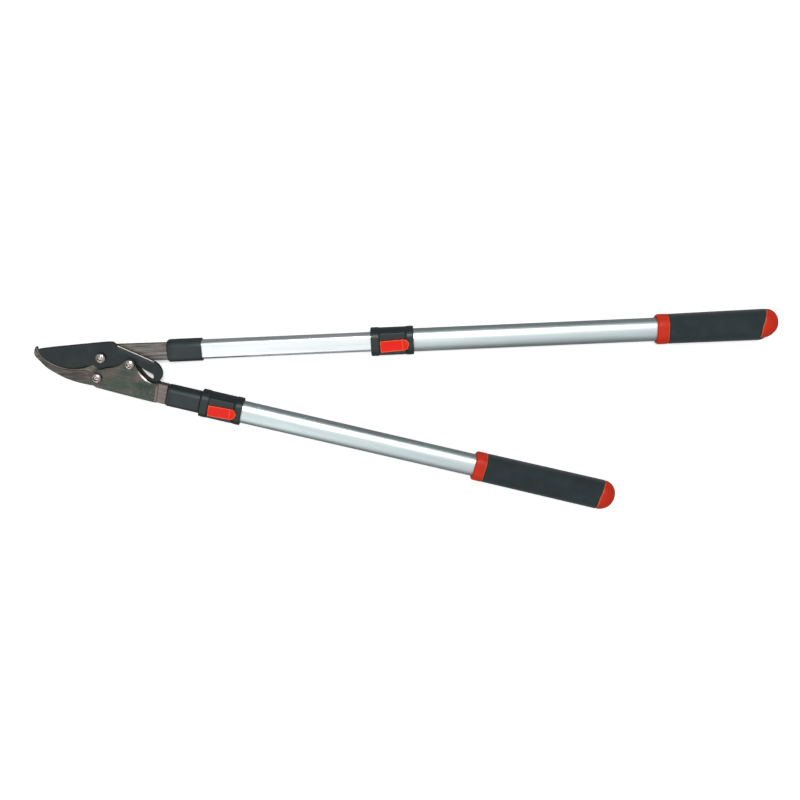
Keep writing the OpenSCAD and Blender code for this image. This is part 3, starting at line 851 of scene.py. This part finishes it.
p = Plate(blade_line, *BLADE_Z, holes=[circle(PIV_A, 4.05), slot_poly()], micro=0.28, top=blade_top,
          top_w=blade_w, top_d=blade_d, wall_rows=(0.45, 0.8), edge_mat=blade_edge_mat,
          face_mat=blade_face, lines=[np.array([[15.1, 16.5], [14.3, 8], [13.7, 0], [13.4, -11.8]]),
                                      np.array([[16.1, 15.9], [15.2, 8], [14.6, 0], [14.3, -11.8]])])
adopt(p.build("cutting_blade_coated", HEAD, [COAT, CUT_EDGE_AND_GLINT, GROUND_EDGE_HIGHLIGHT, CREASE_SHADE]), "cutting_blade")

plate_top = [[-8, 0], [-7.6, 3.5], [-3.5, 7.6], [3.5, 10.6], [9.5, 13.7], [16.3, 16.3], [22.5, 20.6],
             [26.6, 26.4], [29.8, 29.4], [33.8, 30.2], [37.4, 28.4], [39.8, 24], [44.6, 17.8], [50, 13.2], [55.5, 9.8],
             [61.5, 8.3], [68.2, 8.3]]
plate_low = [[69.2, -14.1], [51, -13.8], [28, -13.1], [4, -12.3], [-1, -11.6], [-5, -9], [-7.4, -5], [-8, 0]]
plate_end = [[68.2 + t, 8.3 - 22.4 * t] for t in (0.15, 0.35, 0.65, 0.85)]
plate_line = np.concatenate([smooth(plate_top, 6), plate_end, smooth(plate_low, 6)]) + LEV_SHIFT


def lever_w(q):
    q = np.asarray(q) - LEV_SHIFT
    if q[0] > 67.9 and q[1] < 8.2:
        return 2.0
    if 43.5 < q[0] < 61 and q[1] > 7.5:
        k = np.clip(min((q[0] - 43.5) / 4.5, (61 - q[0]) / 6), 0, 1)
        return 0.3 + 1.3 * float(k)
    return 0.3


def lever_d(q):
    p = np.asarray(q) - LEV_SHIFT
    if p[0] > 67.9 and p[1] < 8.2:
        return 0.8
    w = lever_w(q)
    return 0.3 + 0.35 * max(w - 0.3, 0)


def lever_edge_mat(q, below_top, base):
    p = np.asarray(q) - LEV_SHIFT
    if p[0] > 67.9 and p[1] < 8.2:
        return 1
    # index 2 paints a highlight on the concave top chamfer; index 3 paints shade dark on the wall below it
    if 44.0 < p[0] < 55.0 and p[1] > 7.5 and below_top == 0:
        return 2
    return 3 if 40.0 < p[0] < 62 and p[1] > 7.5 and below_top == 1 else base


rivets = [(50, -3), (62, -3)]
for name, z0, z1 in (("lever_plate_front", BAR_H, LEVER_Z1), ("lever_plate_back", -LEVER_Z1, -BAR_H)):
    holes = [circle((0, 0), 4.05), circle(PC_LEVER, 3.42)] + [circle(c, 2.55, 32) for c in rivets]
    if name.endswith("front"):
        p = Plate(plate_line, z0, z1, holes=holes, micro=0.3, top_w=lever_w, top_d=lever_d, edge_mat=lever_edge_mat)
        M = LEVER
    else:
        # the back plate's rounded side faces down
        p = Plate(plate_line * [1, -1], -z1, -z0, holes=[h * [1, -1] for h in holes], micro=0.3,
                  top_w=lambda q: lever_w((q[0], -q[1])), top_d=lambda q: lever_d((q[0], -q[1])),
                  edge_mat=lambda q, b, m: lever_edge_mat((q[0], -q[1]), b, m))
        M = LEVER @ np.diag([1.0, -1.0, -1.0, 1.0])
    adopt(p.build(name + "_steel", M, [STEEL_LEVER, CUT_EDGE_AND_GLINT, GROUND_EDGE_HIGHLIGHT, SHADE_LINE]), name)

tang_left = [[44, -13.6], [41, -9], [40, -4.5], [42, -0.5], [47, 3.4], [53, 5.8], [59, 7.2], [66, 8.5]]
TX, TY = 79 + LEV_SHIFT[0], -2.65
tang_line = np.concatenate([smooth(tang_left, 6) + LEV_SHIFT, [[TX - 0.3, 8.5 + LEV_SHIFT[1]], [TX, 8.2 + LEV_SHIFT[1]], [TX, TY + 7.1], [LO_X0 + 37, TY + 7.1],
                            [LO_X0 + 37, TY - 7.1], [TX, TY - 7.1], [TX, -14.1 + LEV_SHIFT[1]], [TX - 0.3, -14.4 + LEV_SHIFT[1]], [69 + LEV_SHIFT[0], -14.3 + LEV_SHIFT[1]]]])
p = Plate(tang_line, -BAR_H, BAR_H, holes=[circle(c, 2.55, 32) for c in rivets], micro=0.35)
adopt(p.build("lower_tang_steel", LEVER, [STEEL_TANG, CUT_EDGE_AND_GLINT, GROUND_EDGE_HIGHLIGHT]), "lower_tang")


# ---------------------------------------------------------------- fasteners
def hexd(x, y, rin):
    """signed distance of a hexagon with flats at distance rin"""
    d = np.abs(x)
    for a in (60, 120):
        d = np.maximum(d, np.abs(x * math.cos(math.radians(a)) + y * math.sin(math.radians(a))))
    return d - rin


def bolt_sdf(z, z_end, r, thread_from):
    def f(X, Y, Z):
        R = np.hypot(X, Y)
        head = rmax(rmax(R - 6.0, slab(Z, z, z + 4.6), 0.2), np.sqrt(X * X + Y * Y + (Z - z + 5.4) ** 2) - 10.0, 0.5)
        th = np.arctan2(Y, X) / (2 * math.pi)
        ph = (Z / 0.9 - th) % 1.0
        cut = 0.28 * (1 - np.abs(2 * ph - 1)) * sstep(-Z, -thread_from, -thread_from + 0.6)
        shaft = rmax(R - r + cut, slab(Z, z_end, z + 0.4), 0.25)
        d = np.minimum(head, shaft)
        sock = np.maximum(hexd(Y, X, 2.05), z + 2.2 - Z)
        cone = (R - 3.25 + (z + 4.4 - Z) * 1.0) * 0.7
        return rmax(rmax(d, -sock, 0.12), -cone, 0.1)
    return f


def nut_sdf(z, h, r):
    def f(X, Y, Z):
        R = np.hypot(X, Y)
        hx = rmax(hexd(Y, X, 6.9 * math.cos(math.radians(30))), slab(Z, z - h * 0.72, z), 0.15)
        hx = rmax(hx, (R - 6.9 + (z - 0.75 - Z) * -0.58) * 0.86, 0.12)
        hx = rmax(hx, (R - 6.9 - (Z - (z - h * 0.72 + 0.75)) * 0.58) * 0.86, 0.12)
        col = rmax(R - 5.4, slab(Z, z - h, z - h * 0.55), 0.7)
        return rmax(rmin(hx, col, 0.25), -(R - r), 0.15)
    return f


def small(node, name, f, lo, hi, h, M, mats):
    return adopt(sdf_object(name, f, lo, hi, h, M, mats), node)


def zc(f, c):
    return lambda X, Y, Z: f(X - c[0], Y - c[1], Z)


HV = 0.2


def bolt(node, z, z_end, r, thread_from, c, M):
    """button head with a hex socket; walls of the socket and the foot of the head are painted dark as shade"""
    V, F = nets(zc(bolt_sdf(z, z_end, r, thread_from), c), (c[0] - 6.7, c[1] - 6.7, z_end - 0.6), (c[0] + 6.7, c[1] + 6.7, z + 5.25), HV)
    fc = V[F].mean(1)
    rr, zz = np.hypot(fc[:, 0] - c[0], fc[:, 1] - c[1]), fc[:, 2] - z
    dome = np.sqrt(100 - np.minimum(rr, 9.0) ** 2) - 5.4
    # socket walls and the foot of the head get painted shade
    painted_shade = ((rr < 3.35) & (zz > 2.35) & (zz < dome - 0.16)) | ((rr > 5.45) & (zz < 1.9) & (zz > -0.2))
    adopt(object_from(node + "_vis", place(V, M), F, [BOLT, BOLT_SHADE], painted_shade.astype(int), angle=None, weld=False), node)


bolt("blade_pivot_bolt", 4.95, -12.6, 4.0, -6.5, (0, 0), AT_A)
bolt("lever_pivot_bolt", 7.5, -13.5, 4.0, -8.5, (0, 0), LEVER)
bolt("drive_pin", 7.5, -13.5, 3.4, -8.5, PC_LEVER, LEVER)
small("blade_pivot_nut", "blade_pivot_nut_vis", nut_sdf(-5.85, 6.0, 4.02), (-7.6, -7.6, -12.6), (7.6, 7.6, -5.2), 0.25, AT_A, [STUD])
small("lever_pivot_nut", "lever_pivot_nut_vis", nut_sdf(-7.5, 6.0, 4.02), (-7.6, -7.6, -14.2), (7.6, 7.6, -6.9), 0.25, LEVER, [STUD])
small("drive_pin_nut", "drive_pin_nut_vis", zc(nut_sdf(-7.5, 6.0, 3.42), PC_LEVER), (PC_LEVER[0] - 7.6, PC_LEVER[1] - 7.6, -14.2),
      (PC_LEVER[0] + 7.6, PC_LEVER[1] + 7.6, -6.9), 0.25, LEVER, [STUD])


def revolve(profile, n=64):
    """profile: closed loop of (r, z)"""
    rings = []
    for i in range(n):
        a = 2 * math.pi * i / n
        rings.append(np.array([[r * math.cos(a), r * math.sin(a), z] for r, z in profile]))
    return skin(rings, loop=True)


V, F = revolve([(4.1, -5.85), (4.1, -4.65), (7.8, -4.65), (8.0, -4.85), (8.0, -5.65), (7.8, -5.85)])
adopt(object_from("blade_pivot_washer_vis", place(V, AT_A), F, [STUD]), "blade_pivot_washer")
Vs, Fs = [], []
for c in rivets:
    prof = [(0.0, -7.5), (2.38, -7.5), (2.5, -7.38), (2.5, 7.38), (2.38, 7.5), (0.0, 7.5)]
    n = 40
    rings = [np.array([[c[0] + r * math.cos(2 * math.pi * i / n), c[1] + r * math.sin(2 * math.pi * i / n), z] for i in range(n)]) for r, z in prof[1:-1]]
    V, F = skin(rings, cap0=True, cap1=True)
    s = sum(len(v) for v in Vs)
    Vs.append(V)
    Fs += [tuple(i + s for i in f) for f in F]
adopt(object_from("plate_rivets_vis", place(np.concatenate(Vs), LEVER), Fs, [STEEL_LEVER]), "plate_rivets")


# ---------------------------------------------------------------- handles
def ferrule(node, M):
    w, h, r = 25.2, 19.6, 7.6
    sec = [(0.0, 20.6, 15.0, 5.4), (0.12, 21.8, 16.2, 6.0), (0.45, 23.0, 17.4, 6.6), (1.0, 24.0, 18.4, 7.1), (1.7, 24.7, 19.1, 7.4), (2.5, 25.1, 19.5, 7.55),
           (3.4, w, h, r), (3.9, w, h, r), (4.15, w - 0.5, h - 0.5, r - 0.25), (4.55, w - 0.5, h - 0.5, r - 0.25), (4.8, w, h, r), (12, w, h, r), (24, w, h, r),
           (FER_L - 0.9, w, h, r), (FER_L - 0.55, w - 0.12, h - 0.12, r), (FER_L - 0.25, w - 0.4, h - 0.4, r - 0.2), (FER_L - 0.05, w - 0.9, h - 0.9, r - 0.4),
           (FER_L, w - 1.4, h - 1.4, r - 0.7), (FER_L, 21.6, 14.8, 5.1), (FER_L - 0.3, 21.34, 14.54, 5.0), (11.2, 21.34, 14.54, 5.0)]
    V, F = loft(sec, cap0=True, cap1=True, k=10, flat=3)
    return adopt(object_from(node + "_vis", place(V, M), F, [FERRULE], angle=42), node)


def oval(w, h, p, n=72):
    """closed superellipse ring of (y, z)"""
    a = np.linspace(0, 2 * math.pi, n, endpoint=False) + 1e-6
    c, s = np.cos(a), np.sin(a)
    return np.stack([w / 2 * np.sign(c) * np.abs(c) ** (2 / p), h / 2 * np.sign(s) * np.abs(s) ** (2 / p)], 1)


def oval_tube(node, M, x0, x1, w, h, wall, mt, name, p=2.35):
    e = 0.25
    xs = list(np.linspace(x0 + e, x1 - e, 14))
    sec = [(x0, -2 * e)] + [(x, 0) for x in xs] + [(x1, -2 * e), (x1, -2 * wall + 0.2), (x1 - 0.1, -2 * wall), (x0 + 0.1, -2 * wall), (x0, -2 * wall + 0.2)]
    rings = []
    for x, d in sec:
        yz = oval(w + d, h + d, p)
        rings.append(np.column_stack([np.full(len(yz), x), yz]))
    V, F = skin(rings, loop=True)
    return adopt(object_from(name, place(V, M), F, [mt], angle=42), node)


def tube(node, M, x0, x1, w, h, r, wall, mt, name):
    e = 0.25
    wi, hi_, ri = w - 2 * wall, h - 2 * wall, r - wall
    xs = np.linspace(x0 + e, x1 - e, 14)
    sec = [(x0, w - 2 * e, h - 2 * e, r - e)] + [(x, w, h, r) for x in xs] + [(x1, w - 2 * e, h - 2 * e, r - e)]
    sec += [(x1, wi + 0.2, hi_ + 0.2, ri + 0.1), (x1 - 0.1, wi, hi_, ri), (x0 + 0.1, wi, hi_, ri), (x0, wi + 0.2, hi_ + 0.2, ri + 0.1)]
    V, F = loft(sec, loop=True, k=14, flat=2)
    return adopt(object_from(name, place(V, M), F, [mt], angle=42), node)


LOCK_Y, LOCK_SKEW, PIN_X, PIN_Z, LX0, LL, LW = 2.5, 3.0, 22.0, 11.7, 10.6, 31.8, 13.0


def lock_plan(X, Y, extra):
    """signed distance of the lever's outline, square at its head end and round at the other"""
    c, s = math.cos(math.radians(-LOCK_SKEW)), math.sin(math.radians(-LOCK_SKEW))
    dx, dy = X - PIN_X, Y + LOCK_Y
    x, y = dx * c - dy * s, dx * s + dy * c
    r = LW / 2 + extra
    a, b = LX0 - PIN_X - extra, LX0 - PIN_X + LL - LW / 2
    q = rmax(np.abs(y) - r, a - x, 1.0)
    box = np.maximum(q, x - b)
    cap = np.hypot(x - b, y) - r
    return np.where(x > b, cap, box), x, y


def collar_sdf(X, Y, Z):
    left = rmax(sd_rr(Y, Z, 31.8, 25.0, 10.4), slab(X, 0.0, 9.3), 1.1)
    mid = np.maximum(sd_rr(Y, Z, 30.8, 24.0, 9.9), slab(X, 6.0, 43.0))
    right = rmax(sd_rr(Y, Z, 31.8, 25.0, 10.4), slab(X, 39.7, 48.0), 1.1)
    hy = slab(Y, -12.0, 12.5)
    taper = slab(X, 9.7, 39.3)
    house = rmax(rmax(hy, taper, 1.2), slab(Z, 4.0, 14.2), 1.1)
    d = np.minimum(np.minimum(left, right), rmin(mid, house, 1.2))
    bore = np.minimum(sd_rr(Y, Z, 22.1, 15.3, 5.4), np.maximum(sd_rr(Y, Z, 26.35, 19.35, 8.9), 26.0 - X))
    d = rmax(d, -bore, 0.35)
    q, _, _ = lock_plan(X, Y, 0.5)
    pocket = np.maximum(q, 9.7 - Z)
    well = np.maximum(np.maximum(slab(X, LX0 - 0.2, 25.0), slab(Y, -LOCK_Y - 7.2, -LOCK_Y + 7.0)), 5.0 - Z)
    d = rmax(d, -pocket, 0.4)
    d = np.maximum(d, -well)
    # thumb scoop under the lever's round end, and the screw's countersink below
    hole = np.maximum(np.hypot(X - 40, Y) - 1.5, Z + 7)
    sink = np.maximum((np.hypot(X - 40, Y) - 3.0 - (-12.5 - Z) * 1.0) * 0.7, Z + 10)
    return np.maximum(d, -np.minimum(hole, sink))


def lever_sdf(X, Y, Z):
    q, x, y = lock_plan(X, Y, 0.0)
    inner = -q
    top = 14.9 - 0.34 * sstep(inner, 0.75, 1.25)
    body = rmax(rmax(q, 12.0 - Z, 0.3), Z - 14.9, 0.55)
    body = np.maximum(body, (Z - top) * 0.8)
    hubs = rmax(np.hypot(X - PIN_X, Z - PIN_Z) - 2.6, np.minimum(np.abs(Y + LOCK_Y - 4.7), np.abs(Y + LOCK_Y + 4.7)) - 1.3, 0.2)
    d = np.minimum(body, hubs)
    d = np.maximum(d, -(np.hypot(X - PIN_X, Z - PIN_Z) - 1.3))
    cut = np.maximum(np.maximum(np.abs(X - PIN_X) - 2.8, np.abs(Y + LOCK_Y) - 3.2), slab(Z, PIN_Z - 4, PIN_Z + 2.6))
    return np.maximum(d, -cut)


cl = nets(collar_sdf, (-0.8, -16.7, -13.3), (48.8, 16.7, 15.0), 0.42)
lv = nets(lever_sdf, (9.4, -10.6, 8.6), (44.0, 6.0, 15.4), 0.24)
lc = lv[0][lv[1]].mean(1)
# the lever's top rim is painted lighter as a highlight
lever_rim_highlight = ((lock_plan(lc[:, 0], lc[:, 1], 0.0)[0] > -0.95) & (lc[:, 2] > 14.0)).astype(int)


WIDER = {"upper": 0.0, "lower": 0.7}


def ring(node, M, seen):
    x = COL_L + seen
    w, h, r = 33.6 + WIDER[node[:5]], 26.2, 11.8
    s = []
    for i in range(9):
        a = math.radians(90 * i / 8)
        k = 1 - math.sin(a)
        s.append((x + 3.2 * (1 - math.cos(a)), w - 4.4 * k, h - 4.4 * k, r - 2.0 * k))
    s += [(x + 8.5, w, h, r), (x + 12.2, w, h, r), (x + 12.6, w - 0.15, h - 0.15, r), (x + 12.95, w - 0.6, h - 0.6, r - 0.3), (x + 13.1, w - 1.3, h - 1.3, r - 0.6),
          (x + 13.1, 27.5, 20.4, 9.2), (x + 12.8, 26.35, 19.35, 8.9), (x + 0.2, 26.35, 19.35, 8.9), (x, 26.6, 19.6, 8.9)]
    V, F = loft(s, loop=True, k=12, flat=3)
    fc = V[np.array(F)].mean(1)
    # the grip-side lip of the ring is painted lighter as a highlight
    rim_highlight = ((fc[:, 0] > x + 12.0) & (np.maximum(np.abs(fc[:, 1]) - 13.2, np.abs(fc[:, 2]) - 10.4) > 0)).astype(int)
    return adopt(object_from(node + "_vis", place(V, M), F, [ORANGE, ORANGE_RIM_HIGHLIGHT], rim_highlight, angle=40), node)


# where the cap meets the grip: mm along x by angle round the section (0 = +y, 90 = up)
EDGE_U = [(0, 2.4), (45, -1.0), (90, -4.6), (135, -5.6), (158, -5.4), (175, -1.0), (190, 3.6), (225, 4.6), (270, 4.8), (315, 4.3), (360, 2.4)]
EDGE_L = [(0, 1.0), (45, -1.5), (90, -3.1), (135, -2.9), (180, -1.0), (225, 1.5), (270, 3.1), (315, 2.9), (360, 1.0)]


def cap_edge(yz, table):
    th = np.degrees(np.arctan2(yz[:, 1] / 13.4, yz[:, 0] / 17.0)) % 360
    T = np.array([(a - 360, b) for a, b in table[:-1]] + list(table) + [(a + 360, b) for a, b in table[1:]], float)
    out = np.zeros(len(th))
    for w, dt in ((0.25, -6), (0.5, 0), (0.25, 6)):
        out += w * np.interp(th + dt, T[:, 0], T[:, 1])
    return out


def grip(node, M, seen, gl, table):
    x0, x1 = COL_L + seen + 13.5, COL_L + seen + 13.5 + gl
    s = [(x0 + 0.15, 30.6, 24.2, 10.4, 0), (x0 + 0.05, 31.6, 25.2, 10.9, 0), (x0 + 0.2, 32.3, 25.9, 11.2, 0), (x0 + 0.8, 32.8, 26.3, 11.5, 0), (x0 + 1.8, 33.0, 26.4, 11.6, 0)]
    n = 34
    for i in range(1, n):
        t = i / n
        s.append((x0 + 1.8 + (gl - 3.6) * t, 33.0 + 1.4 * t, 26.4 + 0.6 * t, 11.6 + 0.4 * t, float(sstep(np.array(t), 0.72, 0.96))))
    s += [(x1 - 1.8, 34.4, 27.0, 12, 1), (x1 - 0.8, 34.3, 26.9, 11.9, 1), (x1 - 0.25, 33.8, 26.4, 11.7, 1), (x1, 33.0, 25.6, 11.4, 1),
          (x1, 27.1, 20.0, 9.0, 1), (x1 - 0.4, 26.35, 19.35, 8.9, 1), (x0 + 0.4, 26.35, 19.35, 8.9, 0), (x0 + 0.2, 27.1, 20.0, 9.0, 0)]
    rings = []
    up = node.startswith("upper")
    for x, w, h, r, k in s:
        yz = rring(w + WIDER[node[:5]] * (w > 30), h, r, 14, 7)
        yz[:, 0] += 0.35 * up * (w > 30) * (x - x0) / gl
        # low waves in the moulded sleeve
        z = yz[:, 1] - (0.05 - 0.05 * math.sin(x * 0.21 + 1.3)) * (yz[:, 1] > 8)
        rings.append(np.column_stack([x + k * cap_edge(yz, table), yz[:, 0], z]))
    V, F = skin(rings, loop=True)
    return adopt(object_from(node + "_vis", place(V, M), F, [FOAM], angle=60), node)


def cap(node, M, seen, gl, table):
    x0 = COL_L + seen + 13.5 + gl
    L = 16.1 if node.startswith("upper") else 16.9
    rings = []
    s0 = [(0.0, 26.1, 19.1, 8.8), (0.0, 31.8, 24.6, 10.8), (0.12, 32.9, 25.7, 11.3), (0.45, 33.6, 26.4, 11.7), (1.0, 34.0, 26.8, 11.9)]
    up = node.startswith("upper")
    wide, shift = (-1.9, 1.3) if up else (WIDER["lower"], 0.0)
    for x, w, h, r in s0:
        yz = rring(w + wide * (w > 30), h, r, 14, 7)
        edge = cap_edge(yz, table)
        yz[:, 0] += shift * (w > 30)
        rings.append(np.column_stack([x0 + x + edge, yz]))
    base = rring(34.0 + wide, 26.8, 11.9, 14, 7)
    edge = cap_edge(base, table)
    hw = 17.0 + wide / 2
    ell = np.array([(hw * math.cos(a), 13.4 * math.sin(a)) for a in (math.atan2(z / 13.4, y / hw) for y, z in base)])
    n = 24
    for i in range(1, n):
        a = math.radians(89.0 * i / (n - 1))
        sx, sc = math.sin(a), math.cos(a) ** 0.86
        yz = (base * (1 - sx ** 1.5) + ell * sx ** 1.5) * max(sc, 0.015) + np.array([shift, 0])
        rings.append(np.column_stack([x0 + 1.0 + (L - 1.0) * sx + edge * (1 - sx), yz]))
    V, F = skin(rings, cap0=True, cap1=True)
    m = len(base)
    # the lip where the cap meets the grip is painted lighter as a highlight
    rim_highlight = [1 if k // m < 4 else 0 for k in range(len(F) - 2)] + [0, 0]
    return adopt(object_from(node + "_vis", place(V, M), F, [ORANGE, ORANGE_RIM_HIGHLIGHT], rim_highlight, angle=48), node)


for side, H, x0, S, seen, gl, alu, table in (("upper", UPPER, UP_X0, UP_SLIDE, 271.5, 107.0, ALU_U, EDGE_U), ("lower", LOWER, LO_X0, LO_SLIDE, 276.5, 142.5, ALU_L, EDGE_L)):
    F0 = H @ mat4(x0)
    ferrule(side + "_ferrule", F0)
    tube(side + "_inner_tube", F0, 11.0, FER_L + INNER_SEEN + COL_L + 40, 21.3, 14.5, 5.0, 1.4, {"upper": ALU_IN_U, "lower": ALU_IN_L}[side], side + "_inner_tube_vis")
    oval_tube(side + "_outer_tube", S, 26.0, COL_L + seen + 13.5 + gl, 26.3, 19.3, 1.0, alu, side + "_outer_tube_vis")
    adopt(object_from(side + "_collar_vis", place(cl[0], S), cl[1], [PLASTIC], angle=None, weld=False), side + "_collar")
    adopt(object_from(side + "_lock_lever_vis", place(lv[0], S), lv[1], [RED, RED_RIM_HIGHLIGHT], lever_rim_highlight, angle=None, weld=False), side + "_lock_lever")
    ring(side + "_grip_ring", S, seen)
    grip(side + "_grip", S, seen, gl, table)
    cap(side + "_end_cap", S, seen, gl, table)

# ---------------------------------------------------------------- CAD nodes that stay
KEEP = {"lever_pivot_spacer": STUD, "upper_tang_rivets": STUD, "lower_tang_rivets": STUD, "upper_guide_bush": PLASTIC, "lower_guide_bush": PLASTIC,
        "upper_collar_screw": STUD, "lower_collar_screw": STUD, "upper_lock_pivot_pin": STUD, "lower_lock_pivot_pin": STUD,
        "upper_lock_spring": STUD, "lower_lock_spring": STUD, "upper_brake_shoe": RUBBER, "lower_brake_shoe": RUBBER}
for n, m in KEEP.items():
    NODES[n].data.materials.clear()
    NODES[n].data.materials.append(m)

# ---------------------------------------------------------------- floor, light, camera
me = bpy.data.meshes.new("floor")
me.from_pydata([(-4, -4, -0.0004), (4, -4, -0.0004), (4, 4, -0.0004), (-4, 4, -0.0004)], [], [(0, 1, 2, 3)])
floor = bpy.data.objects.new("floor", me)
bpy.context.scene.collection.objects.link(floor)
fm = Mat("floor_white")
fm.b.inputs["Roughness"].default_value = 0.9
fm.b.inputs["Specular IOR Level"].default_value = 0.1
fm.b.inputs["Emission Color"].default_value = (1, 1, 1, 1)
lp = fm.t.nodes.new("ShaderNodeLightPath")
tint = fm.ramp(fm.noise(fm.coords(), 3.0, 2.0), [(0.3, (0.9, 0.9, 0.9)), (0.7, (0.93, 0.93, 0.93))])
fm.to(fm.mix(lp.outputs["Is Glossy Ray"], tint, (0.2, 0.2, 0.2)), "Base Color")
fm.to(fm.math("MULTIPLY", lp.outputs["Is Camera Ray"], 0.4), "Emission Strength")
me.materials.append(fm.m)
floor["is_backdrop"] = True

world = bpy.data.worlds.new("studio")
bpy.context.scene.world = world
world.use_nodes = True
wt = world.node_tree
wt.nodes.clear()
wo = wt.nodes.new("ShaderNodeOutputWorld")
bg = wt.nodes.new("ShaderNodeBackground")
tc = wt.nodes.new("ShaderNodeTexCoord")
sep = wt.nodes.new("ShaderNodeSeparateXYZ")
rp = wt.nodes.new("ShaderNodeValToRGB")
wt.links.new(tc.outputs["Generated"], sep.inputs[0])
wt.links.new(sep.outputs["Z"], rp.inputs["Fac"])
wt.links.new(rp.outputs["Color"], bg.inputs["Color"])
wt.links.new(bg.outputs[0], wo.inputs[0])
els = rp.color_ramp.elements
els[0].position, els[0].color = 0.0, (0.16, 0.17, 0.18, 1)
els[1].position, els[1].color = 1.0, (1.0, 1.0, 1.0, 1)
e = els.new(0.4)
e.color = (0.27, 0.28, 0.29, 1)
e = els.new(0.7)
e.color = (0.53, 0.55, 0.57, 1)
e = els.new(0.9)
e.color = (0.93, 0.94, 0.95, 1)
bg.inputs["Strength"].default_value = 0.9


def area(name, loc, target, size, energy, color=(1, 1, 1), size_y=None):
    l = bpy.data.lights.new(name, "AREA")
    l.shape = "RECTANGLE"
    l.size = size
    l.size_y = size_y or size
    l.energy = energy
    l.color = color
    o = bpy.data.objects.new(name, l)
    o.location = loc
    o.rotation_euler = (Vector(target) - Vector(loc)).to_track_quat("-Z", "Y").to_euler()
    bpy.context.scene.collection.objects.link(o)
    return o


area("key", (0.1, 0.75, 1.45), (0, 0, 0), 0.5, 15)
area("fill", (-0.9, -1.0, 1.3), (0, 0, 0), 1.4, 6)

T = Vector((-0.00805, 0.02929, 0.0135))
n = Vector((0.04491, 0.99899, 0.0))
r = Vector((0.99899, -0.04491, 0.0))
a18 = math.radians(18)
back = math.sin(a18) * n + math.cos(a18) * Vector((0, 0, 1))
up = back.cross(r)
cam = bpy.data.cameras.new("camera")
cam.lens = 43.065
cam.sensor_width = 36
cam.clip_start = 0.01
co = bpy.data.objects.new("camera", cam)
co.matrix_world = Matrix(((r.x, up.x, back.x, 0), (r.y, up.y, back.y, 0), (r.z, up.z, back.z, 0), (0, 0, 0, 1)))
co.location = T + 1.1 * back
bpy.context.scene.collection.objects.link(co)
bpy.context.scene.camera = co
bpy.context.scene.view_settings.view_transform = "Standard"

bpy.context.view_layer.update()
tris = sum(len(o.data.polygons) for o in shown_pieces() if o.type == "MESH")
print("faces", tris)
